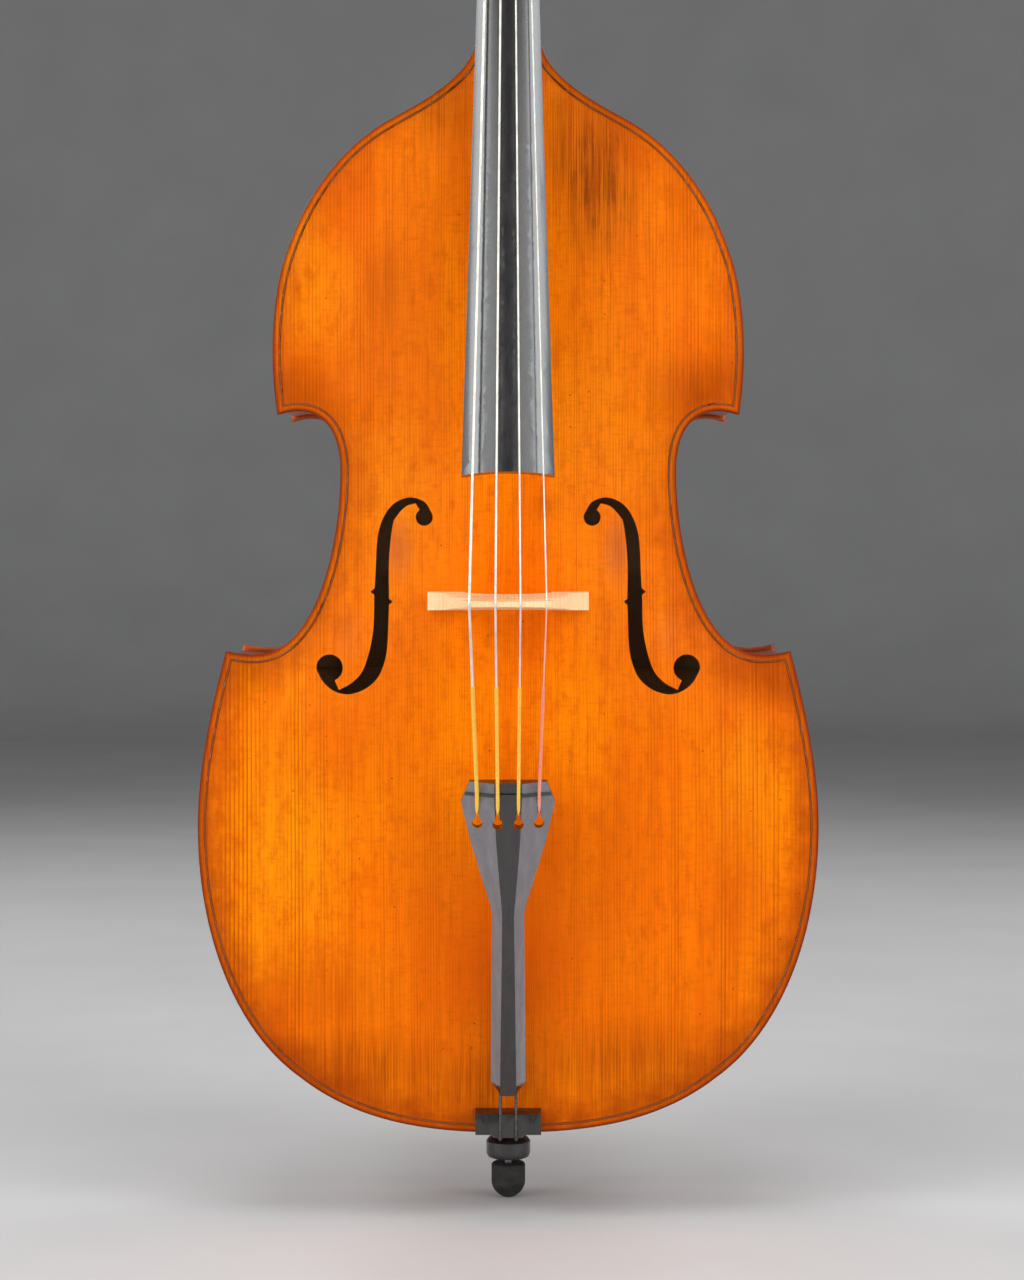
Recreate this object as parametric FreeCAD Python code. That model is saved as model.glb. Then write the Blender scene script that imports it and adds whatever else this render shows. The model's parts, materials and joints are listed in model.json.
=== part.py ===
"""Double bass, three-quarter size, flat back with a canted top, in millimetres.

+Z runs up the instrument, +X to the treble side, and the belly faces -Y.
The origin is the lowest point of the rubber tip on the endpin.
"""
import FreeCAD, Part
import math
import os
from FreeCAD import Vector as V, Placement, Rotation

# Body outline, half of it: half width and height above the tip. Cubic curves,
# knot, handle, handle, knot, from the neck down to the endpin.
UPPER_BOUT = [(33, 1213), (39, 1190), (55, 1168), (118, 1135), (178, 1103), (211, 1047), (227, 1000),
              (239.5, 967), (243, 925), (243, 893), (243, 870), (241, 848), (238, 828)]
CENTRE_BOUT = [(238, 828), (230, 830), (224, 832), (217, 832), (192, 832), (172, 814), (173, 766),
               (174, 692), (198, 581), (262, 581), (272, 581), (282, 583), (291, 585)]
LOWER_BOUT = [(291, 585), (308, 520), (320, 460), (320, 404), (320, 288), (279, 191), (214, 145),
              (150, 95), (70, 88.5), (0, 88.5)]
BODY_TOP = 1213.0
BODY_BOTTOM = 88.5

# Depth of the body
BELLY_EDGE_Y = -106.0
BELLY_THICK = 6.0
RIB_FRONT_Y = BELLY_EDGE_Y + BELLY_THICK
BACK_Y = 100.0
BACK_THICK = 5.0
BACK_BEND_Z = 905.0
TOP_DEPTH = 149.0
OVERHANG = 5.0
RIB_THICK = 2.2
RIB_INSET = OVERHANG + RIB_THICK
PURFLING_INSET = 6.5
PURFLING_WIDTH = 2.2
PURFLING_DEEP = 2.0
LINING_WIDE = 7.0
LINING_DEEP = 18.0
LINING_TOP = 1110.0

# Cutting solids reach this far past the body
REACH_X = 345.0
REACH_Z = (60.0, 1290.0)
REACH_Y = 270.0
ABOVE_EDGE = 40.0

# Blocks, bar, post and braces inside
NECK_BLOCK_HALF, NECK_BLOCK_LOW = 70.0, 1118.0
END_BLOCK_HALF, END_BLOCK_TOP = 62.0, 152.0
CORNER_BLOCKS = [(228, 846), (276, 564)]
CORNER_BLOCK_R = 32.0
BAR_X = (-52.0, -40.0)
BAR_Z = (250.0, 640.0, 1035.0)
BAR_Y = (-96.0, -102.0, -90.0)
POST_X, POST_Z, POST_R = 52.0, 610.0, 9.0
BRACES = [(215, 26, 20), (610, 100, 12), (905, 30, 22), (1060, 24, 18)]

# Arching of the belly: half width of the arch at heights above the tip
ARCH_HIGH = 28.0
ARCH_WIDTHS = [(60, 30), (100, 128), (140, 208), (200, 262), (290, 302), (400, 312), (500, 300),
               (570, 258), (630, 196), (700, 166), (766, 163), (810, 176), (860, 206), (920, 228),
               (1000, 214), (1060, 182), (1120, 128), (1170, 62), (1240, 30)]
ARCH_LENGTH_POWER = 2.5
ARCH_CROSS_POWER = 2.2
ARCH_FALL = 1.9
SKIN_START, SKIN_STEP, SKIN_COUNT = (-338, 70), (26, 29), (27, 41)

# Treble side's sound hole: outer and inner edge of the stem, eyes and nicks
HOLE_OUTER = [(78.5, 728), (86, 738.5), (101, 743), (117, 737), (128, 723), (134.5, 701.5), (136.5, 663),
              (139, 603), (147.5, 569), (159, 554), (173.8, 545.4)]
HOLE_INNER = [(196.7, 566), (190, 553), (179.7, 544.6), (167.8, 541), (157.7, 542), (145.8, 547),
              (135.6, 555.7), (129, 567.5), (124, 588), (122, 628.6), (122.4, 679), (118.6, 715),
              (113.5, 725), (105, 733.7), (95, 737)]
HOLE_EYES = [(86, 722.7, 8.8), (183.5, 568, 13.8)]
HOLE_NICKS = [[(135, 649), (141.5, 646), (135, 643)], [(124, 639), (118, 636), (124, 633)]]

# Strings, in the order E, A, D, G: radius, silk radius, place at bridge, nut, tailpiece and peg
STRING_NAMES = ["e", "a", "d", "g"]
STRING_RADIUS = [1.45, 1.15, 0.95, 0.75]
SILK_RADIUS = [1.9, 1.7, 1.6, 1.5]
BRIDGE_X = [-37.7, -12.2, 12.2, 37.7]
NUT_X = [-14.4, -4.8, 4.8, 14.4]
TAILPIECE_X = [-31.0, -10.4, 10.4, 31.0]
PEG_X = [-7.0, -5.0, 5.0, 7.0]
PEG_U = [48.0, 128.0, 168.0, 88.0]
PEG_TURNS = [3, 4, 4, 5]
STRING_LENGTH = 1055.0
STRING_LEAN = math.radians(12.5)
BRIDGE_Z = 637.0
BRIDGE_TOP = 186.0
STRING_ARCH = 76.0
SILK_START_Z = 555.0

# Fingerboard
BOARD_START = 134.7
BOARD_LENGTH = 920.0
BOARD_HALF = (46.0, 20.0)
BOARD_RADIUS = (72.0, 55.0)
BOARD_SIDE = 9.2
BOARD_SHELL = 9.0
BOARD_GAP = (9.0, 2.0)
BOARD_HOLLOW = 410.0
BOARD_WALL = 6.0
NUT_LONG = 8.0
NUT_CROWN = [(0.0, -2.3), (5.0, -2.6), (NUT_LONG, -0.6)]

# Neck and head
NECK_DEPTH = (24.0, 31.0)
HEEL_HALF = (33.0, 22.0)
HEEL_FROM, HEEL_TO = 505.0, 640.0
HEEL_SLOT_Y = -110.0
MORTISE_Z = 1186.0
BUTTON_HALF = 24.0
BUTTON_TOP = 1256.0
HEAD_LEAN = math.radians(25.0)
CHEEK_X = 27.0
PEG_V = 21.0
CHEEK_SIDE = [(0, -40), (0, 196), (52, 196), (55, 120), (50, 40), (36, -40)]
THROAT_SIDE = [(0, 195), (8, 215), (6, 246), (54, 250), (52, 195)]
THROAT_HALF = 17.0
CAVITY_FRONT = [(-16.5, 6), (16.5, 6), (12, 192), (-12, 192)]
CAVITY_DEEP = 42.0
SCROLL_V, SCROLL_U = 32.0, 246.0
SCROLL_TURNS = [(41, 15, 0), (28, 24, 4), (17, 31, 7), (9, 37, 9)]

# Tuning machines
TEETH = 20
MODULE = 1.25
GEAR_WIDE = 4.0
WORM_R = 3.2
WORM_LONG = 18.0
THREAD_WIDE = 1.2
SHAFT_R = 3.0
SPINDLE_R = 2.5
RUN_CLEARANCE = 0.06
PLATE_THICK = 2.0
PLATE_V = (3.0, 45.0)
PLATE_U = (14.0, 192.0)
POSTS_V = [(-15.5, -10.5), (10.5, 16.5)]
SCREW_V = (7.0, 41.0)
SCREW_R, SCREW_HEAD_R, SCREW_LONG = 1.6, 3.2, 9.0
GEAR_X = CHEEK_X + PLATE_THICK + 2.6
WORM_X = GEAR_X + GEAR_WIDE / 2
WORM_DROP = MODULE * TEETH / 2 + WORM_R + 0.55
ROLLER_R = 7.0
ROLLER_HALF = 12.0
SPINDLE_V = (-17.0, 52.0)
KEY_V = 40.0

# Bridge, half of it: half width and height above the belly's edge, from crown to arch
BRIDGE_HALF = [(0, 185.7), (21, 182.8), (42, 173.2), (46, 168), (44, 160), (37, 148), (34, 136), (38, 126),
               (52, 122), (60, 116), (60, 108), (52, 104), (42, 104), (38, 98), (42, 92), (56, 92), (62, 88),
               (58, 80), (60, 66), (72, 48), (82, 40), (82, 10), (44, 10), (44, 42), (38, 54), (22, 66),
               (0, 70)]
BRIDGE_THICK = [(0, 10.0), (45, 9.0), (190, 2.4)]
HEART_HIGH, HEART_R, HEART_X = 118.0, 7.0, 6.0

# Tailpiece: distance from its lower end, half width, half width of its middle facet
TAILPIECE = [(0, 9.3, 8.4), (12.8, 17.8, 8.2), (193, 16.2, 6.0), (205, 18.7, 6.8), (227, 25.3, 8.6),
             (270.6, 37.9, 12.0), (311.6, 47.1, 13.7), (332.5, 38.8, 13.8)]
TAILPIECE_LEAN = math.radians(12.7)
TAILPIECE_FOOT = (30.0, 132.0)
TAILPIECE_EDGE = 9.0
TAILPIECE_DEEP = 15.0
FRET_PLACE = 319.0
FRET_HIGH = 2.4
FRET_HALF = (43.6, 42.6)
KEYHOLE_PLACE = 290.0
KEYHOLE_R = 5.2
KEYHOLE_SLOT = (1.9, 17.0)
BALL_PLACE, BALL_R, BALL_LONG = 300.0, 4.2, 6.0

# Saddle, cable and endpin
SADDLE_HALF = 33.8
SADDLE_TOP = 115.0
SADDLE_HIGH = 24.0
CABLE_R = 1.5
CABLE_X = 8.0
CABLE_Z = 85.5
ROD_R = 5.0
ROD_TOP = 450.0
PLUG_R = 15.0
TIP_R = 18.0
TIP_HIGH = 37.0
TIP_LIP = 2.0
SCREW_Z = 56.0
COLLAR_LOW, COLLAR_RIM = 42.0, 93.4
CABLE_GROOVE_R = 12.2

shapes = {}


# ---- helpers ----

def box(x0, x1, y0, y1, z0, z1):
    return Part.makeBox(x1 - x0, y1 - y0, z1 - z0, V(x0, y0, z0))


def rod(start, end, radius):
    return Part.makeCylinder(radius, (end - start).Length, start, end - start)


def polygon_face(points):
    return Part.Face(Part.makePolygon(points + [points[0]]))


def side_prism(points, half):
    """A solid with this (y, z) profile, from -half to half in X."""
    return polygon_face([V(-half, y, z) for y, z in points]).extrude(V(2 * half, 0, 0))


def front_prism(points, y0, y1):
    """A solid with this (x, z) front view, from y0 to y1."""
    return polygon_face([V(x, y0, z) for x, z in points]).extrude(V(0, y1 - y0, 0))


def revolved(profile):
    """A turned solid about Z from (radius, height) points."""
    return polygon_face([V(r, 0, z) for r, z in profile]).revolve(V(0, 0, 0), V(0, 0, 1), 360)


def mirrored(shape):
    return shape.mirror(V(0, 0, 0), V(1, 0, 0))


def placed(shape, placement):
    copy = shape.copy()
    copy.Placement = placement.multiply(copy.Placement)
    return copy


def tube(points, radius, bends):
    """A round tube along straight runs joined by tangent arcs."""
    edges, last = [], points[0]
    for i in range(1, len(points) - 1):
        into = (points[i] - points[i - 1]).normalize()
        out = (points[i + 1] - points[i]).normalize()
        turn = into.getAngle(out)
        reach = bends[i - 1] * math.tan(turn / 2)
        start, end = points[i] - into * reach, points[i] + out * reach
        inward = (out - into).normalize()
        middle = points[i] + inward * (bends[i - 1] / math.cos(turn / 2) - bends[i - 1])
        edges += [Part.LineSegment(last, start).toShape(), Part.Arc(start, middle, end).toShape()]
        last = end
    edges.append(Part.LineSegment(last, points[-1]).toShape())
    ring = Part.Wire(Part.makeCircle(radius, points[0], points[1] - points[0]))
    return Part.Wire(edges).makePipeShell([ring], True, True)


# ---- body outline and depth ----

def bezier_runs(points):
    runs = []
    for i in range(0, len(points) - 1, 3):
        run = Part.BezierCurve()
        run.setPoles([V(x, 0, z) for x, z in points[i:i + 4]])
        runs.append(run)
    return runs


def inset_curve(points, inset, lead=0.0, steps=7):
    """One bout moved inwards; lead lengthens it at its upper end."""
    runs = bezier_runs(points)
    through = []
    for number, run in enumerate(runs):
        for i in range(steps + (number == len(runs) - 1)):
            along = run.tangent(i / steps)[0]
            through.append(run.value(i / steps) + V(along.z, 0, -along.x) * inset)
    if lead:
        through.insert(0, through[0] - runs[0].tangent(0)[0] * lead)
    curve = Part.BSplineCurve()
    curve.interpolate(through)
    return curve


def half_outline(inset):
    """The three bouts on the treble side at this inset, cut where they meet."""
    if inset == 0:
        return [[run.toShape() for run in bezier_runs(bout)]
                for bout in (UPPER_BOUT, CENTRE_BOUT, LOWER_BOUT)]
    upper = inset_curve(UPPER_BOUT, inset, lead=OVERHANG + RIB_INSET)
    centre = inset_curve(CENTRE_BOUT, inset)
    lower = inset_curve(LOWER_BOUT, inset)
    level = Part.LineSegment(V(0, 0, BODY_TOP), V(REACH_X, 0, BODY_TOP))
    meets = [upper.intersectCC(level)[0], upper.intersectCC(centre)[0], centre.intersectCC(lower)[0]]
    meets = [V(p.X, p.Y, p.Z) for p in meets]
    return [[upper.toShape(upper.parameter(meets[0]), upper.parameter(meets[1]))],
            [centre.toShape(centre.parameter(meets[1]), centre.parameter(meets[2]))],
            [lower.toShape(lower.parameter(meets[2]), lower.LastParameter)]]


def outline_face(inset):
    half = [edge for bout in half_outline(inset) for edge in bout]
    top = half[0].Vertexes[0].Point
    closing = Part.LineSegment(V(-top.x, 0, top.z), top).toShape()
    edges = half + [mirrored(edge) for edge in half] + [closing]
    return Part.Face(Part.Wire(Part.__sortEdges__(edges)))


def back_inner_y(z):
    slope = (BACK_Y - RIB_FRONT_Y - TOP_DEPTH) / (BODY_TOP - BACK_BEND_Z)
    return BACK_Y - max(0.0, z - BACK_BEND_Z) * slope


def depth_band(front, rear):
    """Everything between two distances in front of the back's inner face."""
    heights = [REACH_Z[0], BACK_BEND_Z, REACH_Z[1]]
    near = [(back_inner_y(z) + front, z) for z in heights]
    far = [(back_inner_y(z) + rear, z) for z in reversed(heights)]
    return side_prism(near + far, REACH_X)


def level_band(z0, z1, half=REACH_X):
    """Everything between two heights."""
    return box(-half, half, -REACH_Y, REACH_Y, z0, z1)


def body_prism(inset, under):
    """The inside of the body at this inset, from the belly's underside to the back."""
    prism = outline_face(inset).extrude(V(0, REACH_Y, 0)).translated(V(0, RIB_FRONT_Y - ABOVE_EDGE, 0))
    return prism.common(depth_band(-REACH_Y, 0)).common(under)


def arch_half_width(z):
    for (z0, w0), (z1, w1) in zip(ARCH_WIDTHS, ARCH_WIDTHS[1:]):
        if z <= z1:
            t = (z - z0) / (z1 - z0)
            return w0 + (w1 - w0) * t * t * (3 - 2 * t)
    return ARCH_WIDTHS[-1][1]


def arch(x, z):
    """Height of the belly above its edge."""
    t = abs(2 * (z - BODY_BOTTOM - 8) / (BODY_TOP - BODY_BOTTOM - 16) - 1)
    s = abs(x) / arch_half_width(z)
    if t >= 1 or s >= 1:
        return 0.0
    return ARCH_HIGH * (1 - t ** ARCH_LENGTH_POWER) * (1 - s ** ARCH_CROSS_POWER) ** ARCH_FALL


def belly_skin():
    """The belly's outer surface, wider than the plate."""
    columns = [SKIN_START[0] + SKIN_STEP[0] * i for i in range(SKIN_COUNT[0])]
    rows = [SKIN_START[1] + SKIN_STEP[1] * i for i in range(SKIN_COUNT[1])]
    grid = [[V(x, BELLY_EDGE_Y - arch(x, z), z) for z in rows] for x in columns]
    surface = Part.BSplineSurface()
    surface.interpolate(grid)
    return surface.toShape()


def behind_belly(skin):
    """Everything behind the belly's underside."""
    return skin.translated(V(0, BELLY_THICK, 0)).extrude(V(0, REACH_Y, 0))


# ---- plates, ribs and what is inside ----

def f_hole():
    """The treble side's sound hole, cut right through."""
    curves = []
    for run in (HOLE_OUTER, HOLE_INNER):
        curve = Part.BSplineCurve()
        curve.interpolate([V(x, 0, z) for x, z in run])
        curves.append(curve.toShape())
    outer_end, inner_start = HOLE_OUTER[-1], HOLE_INNER[0]
    inner_end, outer_start = HOLE_INNER[-1], HOLE_OUTER[0]
    ends = [(outer_end, (183.5, 560), inner_start), (inner_end, (88, 726), outer_start)]
    tips = [edge for end in ends for edge in Part.makePolygon([V(x, 0, z) for x, z in end]).Edges]
    stem = Part.Face(Part.Wire(Part.__sortEdges__(curves + tips)))
    cutter = stem.extrude(V(0, ABOVE_EDGE * 3, 0))
    eyes = [rod(V(x, 0, z), V(x, ABOVE_EDGE * 3, z), radius) for x, z, radius in HOLE_EYES]
    nicks = [front_prism(nick, 0, ABOVE_EDGE * 3) for nick in HOLE_NICKS]
    return cutter.multiFuse(eyes + nicks).translated(V(0, BELLY_EDGE_Y - ABOVE_EDGE * 1.6, 0))


def purfling(y0, y1):
    ring = outline_face(PURFLING_INSET).cut(outline_face(PURFLING_INSET + PURFLING_WIDTH))
    strip = ring.extrude(V(0, y1 - y0, 0)).translated(V(0, y0, 0))
    return strip.cut(level_band(BODY_TOP - 20, BODY_TOP + 20, ABOVE_EDGE))


def make_belly(skin, heel, saddle):
    plate = skin.extrude(V(0, BELLY_THICK, 0))
    plate = plate.common(outline_face(0).extrude(V(0, REACH_Y, 0)).translated(V(0, -REACH_Y, 0)))
    groove = purfling(BELLY_EDGE_Y - ARCH_HIGH - 2, BELLY_EDGE_Y + PURFLING_DEEP)
    hole = f_hole()
    plate = plate.cut(hole)
    plate = plate.cut(mirrored(hole))
    plate = plate.cut(heel)
    plate = plate.cut(saddle)
    shapes["front_purfling"] = plate.common(groove)
    shapes["belly"] = plate.cut(groove)


def make_back():
    button = box(-BUTTON_HALF, BUTTON_HALF, 0, REACH_Y, BODY_TOP - 20, BUTTON_TOP - BUTTON_HALF)
    button = button.fuse(rod(V(0, 0, BUTTON_TOP - BUTTON_HALF), V(0, REACH_Y, BUTTON_TOP - BUTTON_HALF),
                             BUTTON_HALF))
    outline = outline_face(0).extrude(V(0, REACH_Y, 0)).fuse(button)
    strip = purfling(0, REACH_Y).common(depth_band(BACK_THICK - PURFLING_DEEP, BACK_THICK))
    shapes["back_purfling"] = strip
    shapes["back"] = outline.common(depth_band(0, BACK_THICK)).cut(strip)


def make_ribs(heel, foot, under):
    """Six ribs, each from corner to corner."""
    outer, inner = half_outline(OVERHANG), half_outline(RIB_INSET)
    envelope = depth_band(-REACH_Y, 0)
    for name, out, inn in zip(["upper", "centre", "lower"], outer, inner):
        near, far = out[0], inn[0]
        ends = [Part.LineSegment(near.Vertexes[i].Point, far.Vertexes[i].Point).toShape() for i in (0, -1)]
        face = Part.Face(Part.Wire(Part.__sortEdges__([near, far] + ends)))
        rib = face.extrude(V(0, REACH_Y, 0)).translated(V(0, RIB_FRONT_Y - OVERHANG, 0))
        rib = rib.common(envelope).common(under)
        if name == "upper":
            rib = rib.cut(heel)
        if name == "lower":
            rib = rib.cut(foot)
        shapes["rib_%s_treble" % name] = rib
        shapes["rib_%s_bass" % name] = mirrored(rib)


def make_blocks(inside, heel, foot):
    neck = inside.common(level_band(NECK_BLOCK_LOW, REACH_Z[1], NECK_BLOCK_HALF)).cut(heel)
    end = inside.common(level_band(REACH_Z[0], END_BLOCK_TOP, END_BLOCK_HALF)).cut(foot)
    shapes["neck_block"] = neck
    shapes["end_block"] = end
    corners = []
    for x, z in CORNER_BLOCKS:
        block = inside.common(rod(V(x, -REACH_Y, z), V(x, REACH_Y, z), CORNER_BLOCK_R))
        corners += [block, mirrored(block)]
    shapes["corner_blocks"] = Part.makeCompound(corners)


def make_linings(inside, foot, under):
    """Strips along the front and back edges of the ribs, between the blocks."""
    ring = inside.cut(body_prism(RIB_INSET + LINING_WIDE, under))
    ring = ring.cut(Part.makeCompound([shapes["neck_block"], shapes["end_block"], shapes["corner_blocks"],
                                   foot]))
    front = box(-REACH_X, REACH_X, RIB_FRONT_Y - ABOVE_EDGE, RIB_FRONT_Y + LINING_DEEP, REACH_Z[0], LINING_TOP)
    shapes["front_linings"] = ring.common(front)
    shapes["back_linings"] = ring.common(depth_band(-LINING_DEEP, 0)).common(
        level_band(REACH_Z[0], LINING_TOP))


def make_bar_post_and_braces(under):
    bar = box(BAR_X[0], BAR_X[1], -REACH_Y, BAR_Y[1] + ABOVE_EDGE, BAR_Z[0], BAR_Z[2])
    low, mid, high = [V(BAR_X[0], y, z) for y, z in zip(BAR_Y, BAR_Z)]
    bow = Part.Arc(low, mid, high).toShape()
    far = Part.makePolygon([high, V(BAR_X[0], -REACH_Y, high.z), V(BAR_X[0], -REACH_Y, low.z), low])
    lens = Part.Face(Part.Wire([bow] + far.Edges)).extrude(V(BAR_X[1] - BAR_X[0], 0, 0))
    shapes["bass_bar"] = under.common(bar).common(lens)
    post_end = BACK_Y - BRACES[1][2]
    shapes["sound_post"] = under.common(rod(V(POST_X, -REACH_Y, POST_Z), V(POST_X, post_end, POST_Z), POST_R))
    core = body_prism(RIB_INSET + LINING_WIDE + 1, under).cut(shapes["corner_blocks"])
    braces = []
    for z, high, deep in BRACES:
        braces.append(core.common(depth_band(-deep, 0)).common(level_band(z - high / 2, z + high / 2)))
    shapes["back_braces"] = Part.makeCompound(braces)


# ---- strings' plane, fingerboard, neck and head ----

def on_strings(x, along, above):
    """A point by its distance up the strings from the bridge and its height above them."""
    lean_y, lean_z = math.sin(STRING_LEAN), math.cos(STRING_LEAN)
    y = BELLY_EDGE_Y - BRIDGE_TOP + along * lean_y - above * lean_z
    return V(x, y, BRIDGE_Z + along * lean_z + above * lean_y)


def arc_drop(x, radius):
    return radius - math.sqrt(radius ** 2 - x ** 2)


board_start = on_strings(0, BOARD_START, -BOARD_GAP[0])
board_end = on_strings(0, BOARD_START + BOARD_LENGTH, -BOARD_GAP[1])
board_lean = math.atan2(board_end.y - board_start.y, board_end.z - board_start.z)
BOARD_FRAME = Placement(board_start, Rotation(V(1, 0, 0), -math.degrees(board_lean)))
HEAD_FRAME = Placement(BOARD_FRAME.multVec(V(0, 3, BOARD_LENGTH + NUT_LONG)),
                       Rotation(V(1, 0, 0), -math.degrees(HEAD_LEAN)))


def board_value(pair, z):
    return pair[0] + (pair[1] - pair[0]) * z / BOARD_LENGTH


GLUE_DEPTH = [arc_drop(half, radius) + BOARD_SIDE for half, radius in zip(BOARD_HALF, BOARD_RADIUS)]


def glue_y(z):
    """Depth of the fingerboard's flat underside at this distance up the board."""
    return board_value(GLUE_DEPTH, z)


def crowned_wire(z, half, radius, top, bottom):
    """A cross-section with an arched top, in the board's own frame."""
    drop = top + arc_drop(half, radius)
    crown = Part.Arc(V(-half, drop, z), V(0, top, z), V(half, drop, z)).toShape()
    rest = Part.makePolygon([V(half, drop, z), V(half, bottom, z), V(-half, bottom, z), V(-half, drop, z)])
    return Part.Wire([crown] + rest.Edges)


def make_board_and_nut(strings):
    ends = []
    hollow = []
    for z in (0.0, BOARD_LENGTH):
        half, radius = board_value(BOARD_HALF, z), board_value(BOARD_RADIUS, z)
        ends.append(crowned_wire(z, half, radius, 0, glue_y(z)))
    for z in (-1.0, BOARD_HOLLOW):
        half, radius = board_value(BOARD_HALF, z) - BOARD_WALL, board_value(BOARD_RADIUS, z) - BOARD_SHELL
        hollow.append(crowned_wire(z, half, radius, BOARD_SHELL, glue_y(z) + 2))
    board = Part.makeLoft(ends, True, True).cut(Part.makeLoft(hollow, True, True))
    shapes["fingerboard"] = placed(board, BOARD_FRAME)
    half, radius = BOARD_HALF[1], BOARD_RADIUS[1]
    wires = [crowned_wire(BOARD_LENGTH + z, half, radius, top, glue_y(BOARD_LENGTH + z)) for z, top in NUT_CROWN]
    nut = placed(Part.makeLoft(wires, True, True), BOARD_FRAME)
    shapes["nut"] = nut.cut(Part.makeCompound(strings))


def neck_section(z, depth):
    """A D-shaped wire: flat against the board, round behind."""
    half, flat = board_value(BOARD_HALF, z), glue_y(z)
    left = Part.BezierCurve()
    left.setPoles([V(-half, flat, z), V(-half, flat + depth * 0.62, z), V(-half * 0.55, flat + depth, z),
                   V(0, flat + depth, z)])
    right = mirrored(left.toShape())
    top = Part.LineSegment(V(half, flat, z), V(-half, flat, z)).toShape()
    return Part.Wire(Part.__sortEdges__([left.toShape(), right, top]))


def make_heel():
    """The heel down to the back's button, and its tenon in the neck block."""
    low, top = [BOARD_FRAME.multVec(V(0, glue_y(z), z)) for z in (HEEL_FROM, HEEL_TO)]
    behind = BOARD_FRAME.multVec(V(0, glue_y(HEEL_TO) + NECK_DEPTH[1] - 2, HEEL_TO))
    foot_y, foot_z = back_inner_y(BUTTON_TOP - 4), BUTTON_TOP - 4
    sweep = Part.BezierCurve()
    sweep.setPoles([behind, V(0, behind.y - 14, behind.z - 62), V(0, foot_y - 40, foot_z + 18),
                    V(0, foot_y, foot_z)])
    front_y = low.y + (MORTISE_Z - low.z) * (top.y - low.y) / (top.z - low.z)
    rest = Part.makePolygon([V(0, foot_y, foot_z), V(0, back_inner_y(MORTISE_Z), MORTISE_Z),
                             V(0, front_y, MORTISE_Z), top, behind])
    side = Part.Face(Part.Wire(Part.__sortEdges__([sweep.toShape()] + rest.Edges)))
    side = side.extrude(V(REACH_X, 0, 0)).translated(V(-REACH_X / 2, 0, 0))
    wide, thin = HEEL_HALF
    front, rear = BELLY_EDGE_Y - 90, BACK_Y - 30
    plan = polygon_face([V(-wide, front, 0), V(wide, front, 0), V(wide, HEEL_SLOT_Y, 0), V(thin, rear, 0),
                         V(-thin, rear, 0), V(-wide, HEEL_SLOT_Y, 0)])
    return side.common(plan.extrude(V(0, 0, 2 * BODY_TOP)))


def make_neck(heel):
    """The shaft under the board, joined to the heel."""
    stations = [(HEEL_FROM, NECK_DEPTH[1] + 1), (HEEL_TO, NECK_DEPTH[1]), (780.0, NECK_DEPTH[0] + 3),
                (BOARD_LENGTH + NUT_LONG, NECK_DEPTH[0])]
    shaft = placed(Part.makeLoft([neck_section(z, d) for z, d in stations], True, False), BOARD_FRAME)
    shapes["neck"] = shaft.fuse(heel).removeSplitter()


def head_prism(points, half0, half1):
    """A side view in the head's frame, tapering in width from its foot to its crown."""
    side = polygon_face([V(-60, v, u) for v, u in points]).extrude(V(120, 0, 0))
    top = max(u for v, u in points)
    low = min(u for v, u in points)
    plan = polygon_face([V(-half0, -60, low), V(half0, -60, low), V(half1, -60, top), V(-half1, -60, top)])
    return side.common(plan.extrude(V(0, 200, 0)))


def make_head(machine_holes, strings):
    """Pegbox with its cavity, and the scroll above it."""
    cheeks = head_prism(CHEEK_SIDE, CHEEK_X, CHEEK_X)
    scroll = [head_prism(THROAT_SIDE, CHEEK_X, THROAT_HALF)]
    for radius, half, shift in SCROLL_TURNS:
        centre = V(-half, SCROLL_V - shift, SCROLL_U - shift / 2)
        scroll.append(rod(centre, centre + V(2 * half, 0, 0), radius))
    head = cheeks.multiFuse(scroll)
    cavity = front_prism(CAVITY_FRONT, -2, CAVITY_DEEP)
    head = head.cut(cavity).cut(Part.makeCompound(machine_holes))
    head = placed(head, HEAD_FRAME)
    below = placed(box(-80, 80, -150, 150, BOARD_LENGTH - 120, BOARD_LENGTH + NUT_LONG), BOARD_FRAME)
    shapes["pegbox_scroll"] = head.cut(below).cut(Part.makeCompound(strings))


# ---- tuning machines, in the head's frame ----

def gear_profile():
    """A wheel with straight-sided teeth, its axis along X at the origin."""
    pitch, root = MODULE * TEETH / 2, MODULE * TEETH / 2 - 1.35
    tip = pitch + 1.0
    step = 2 * math.pi / TEETH
    points = []
    for i in range(TEETH):
        for radius, part in ((root, -0.24), (tip, -0.11), (tip, 0.11), (root, 0.24)):
            angle = (i + part) * step
            points.append(V(0, radius * math.sin(angle), -radius * math.cos(angle)))
    return polygon_face(points).extrude(V(GEAR_WIDE, 0, 0))


def worm_thread():
    """A worm along Y; its thin thread passes midway between two teeth of the gear above it."""
    pitch = math.pi * MODULE
    helix = Part.makeHelix(pitch, WORM_LONG - 4, WORM_R - 0.9)
    half = THREAD_WIDE / 2
    outer = WORM_R + 1.0
    section = Part.makePolygon([V(WORM_R - 0.9, 0, -half - 0.3), V(outer, 0, -half + 0.15),
                                V(outer, 0, half - 0.15), V(WORM_R - 0.9, 0, half + 0.3),
                                V(WORM_R - 0.9, 0, -half - 0.3)])
    thread = Part.Wire(helix.Edges).makePipeShell([section], True, True)
    core = Part.makeCylinder(WORM_R - 0.7, WORM_LONG, V(0, 0, -2))
    start = 2 - WORM_LONG / 2
    beyond_gap = start + 0.75 * pitch - 0.5 * pitch
    thread.rotate(V(0, 0, 0), V(0, 0, 1), 360 * beyond_gap / pitch)
    worm = core.fuse(thread)
    return placed(worm, Placement(V(0, start, 0), Rotation(V(1, 0, 0), -90)))


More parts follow.
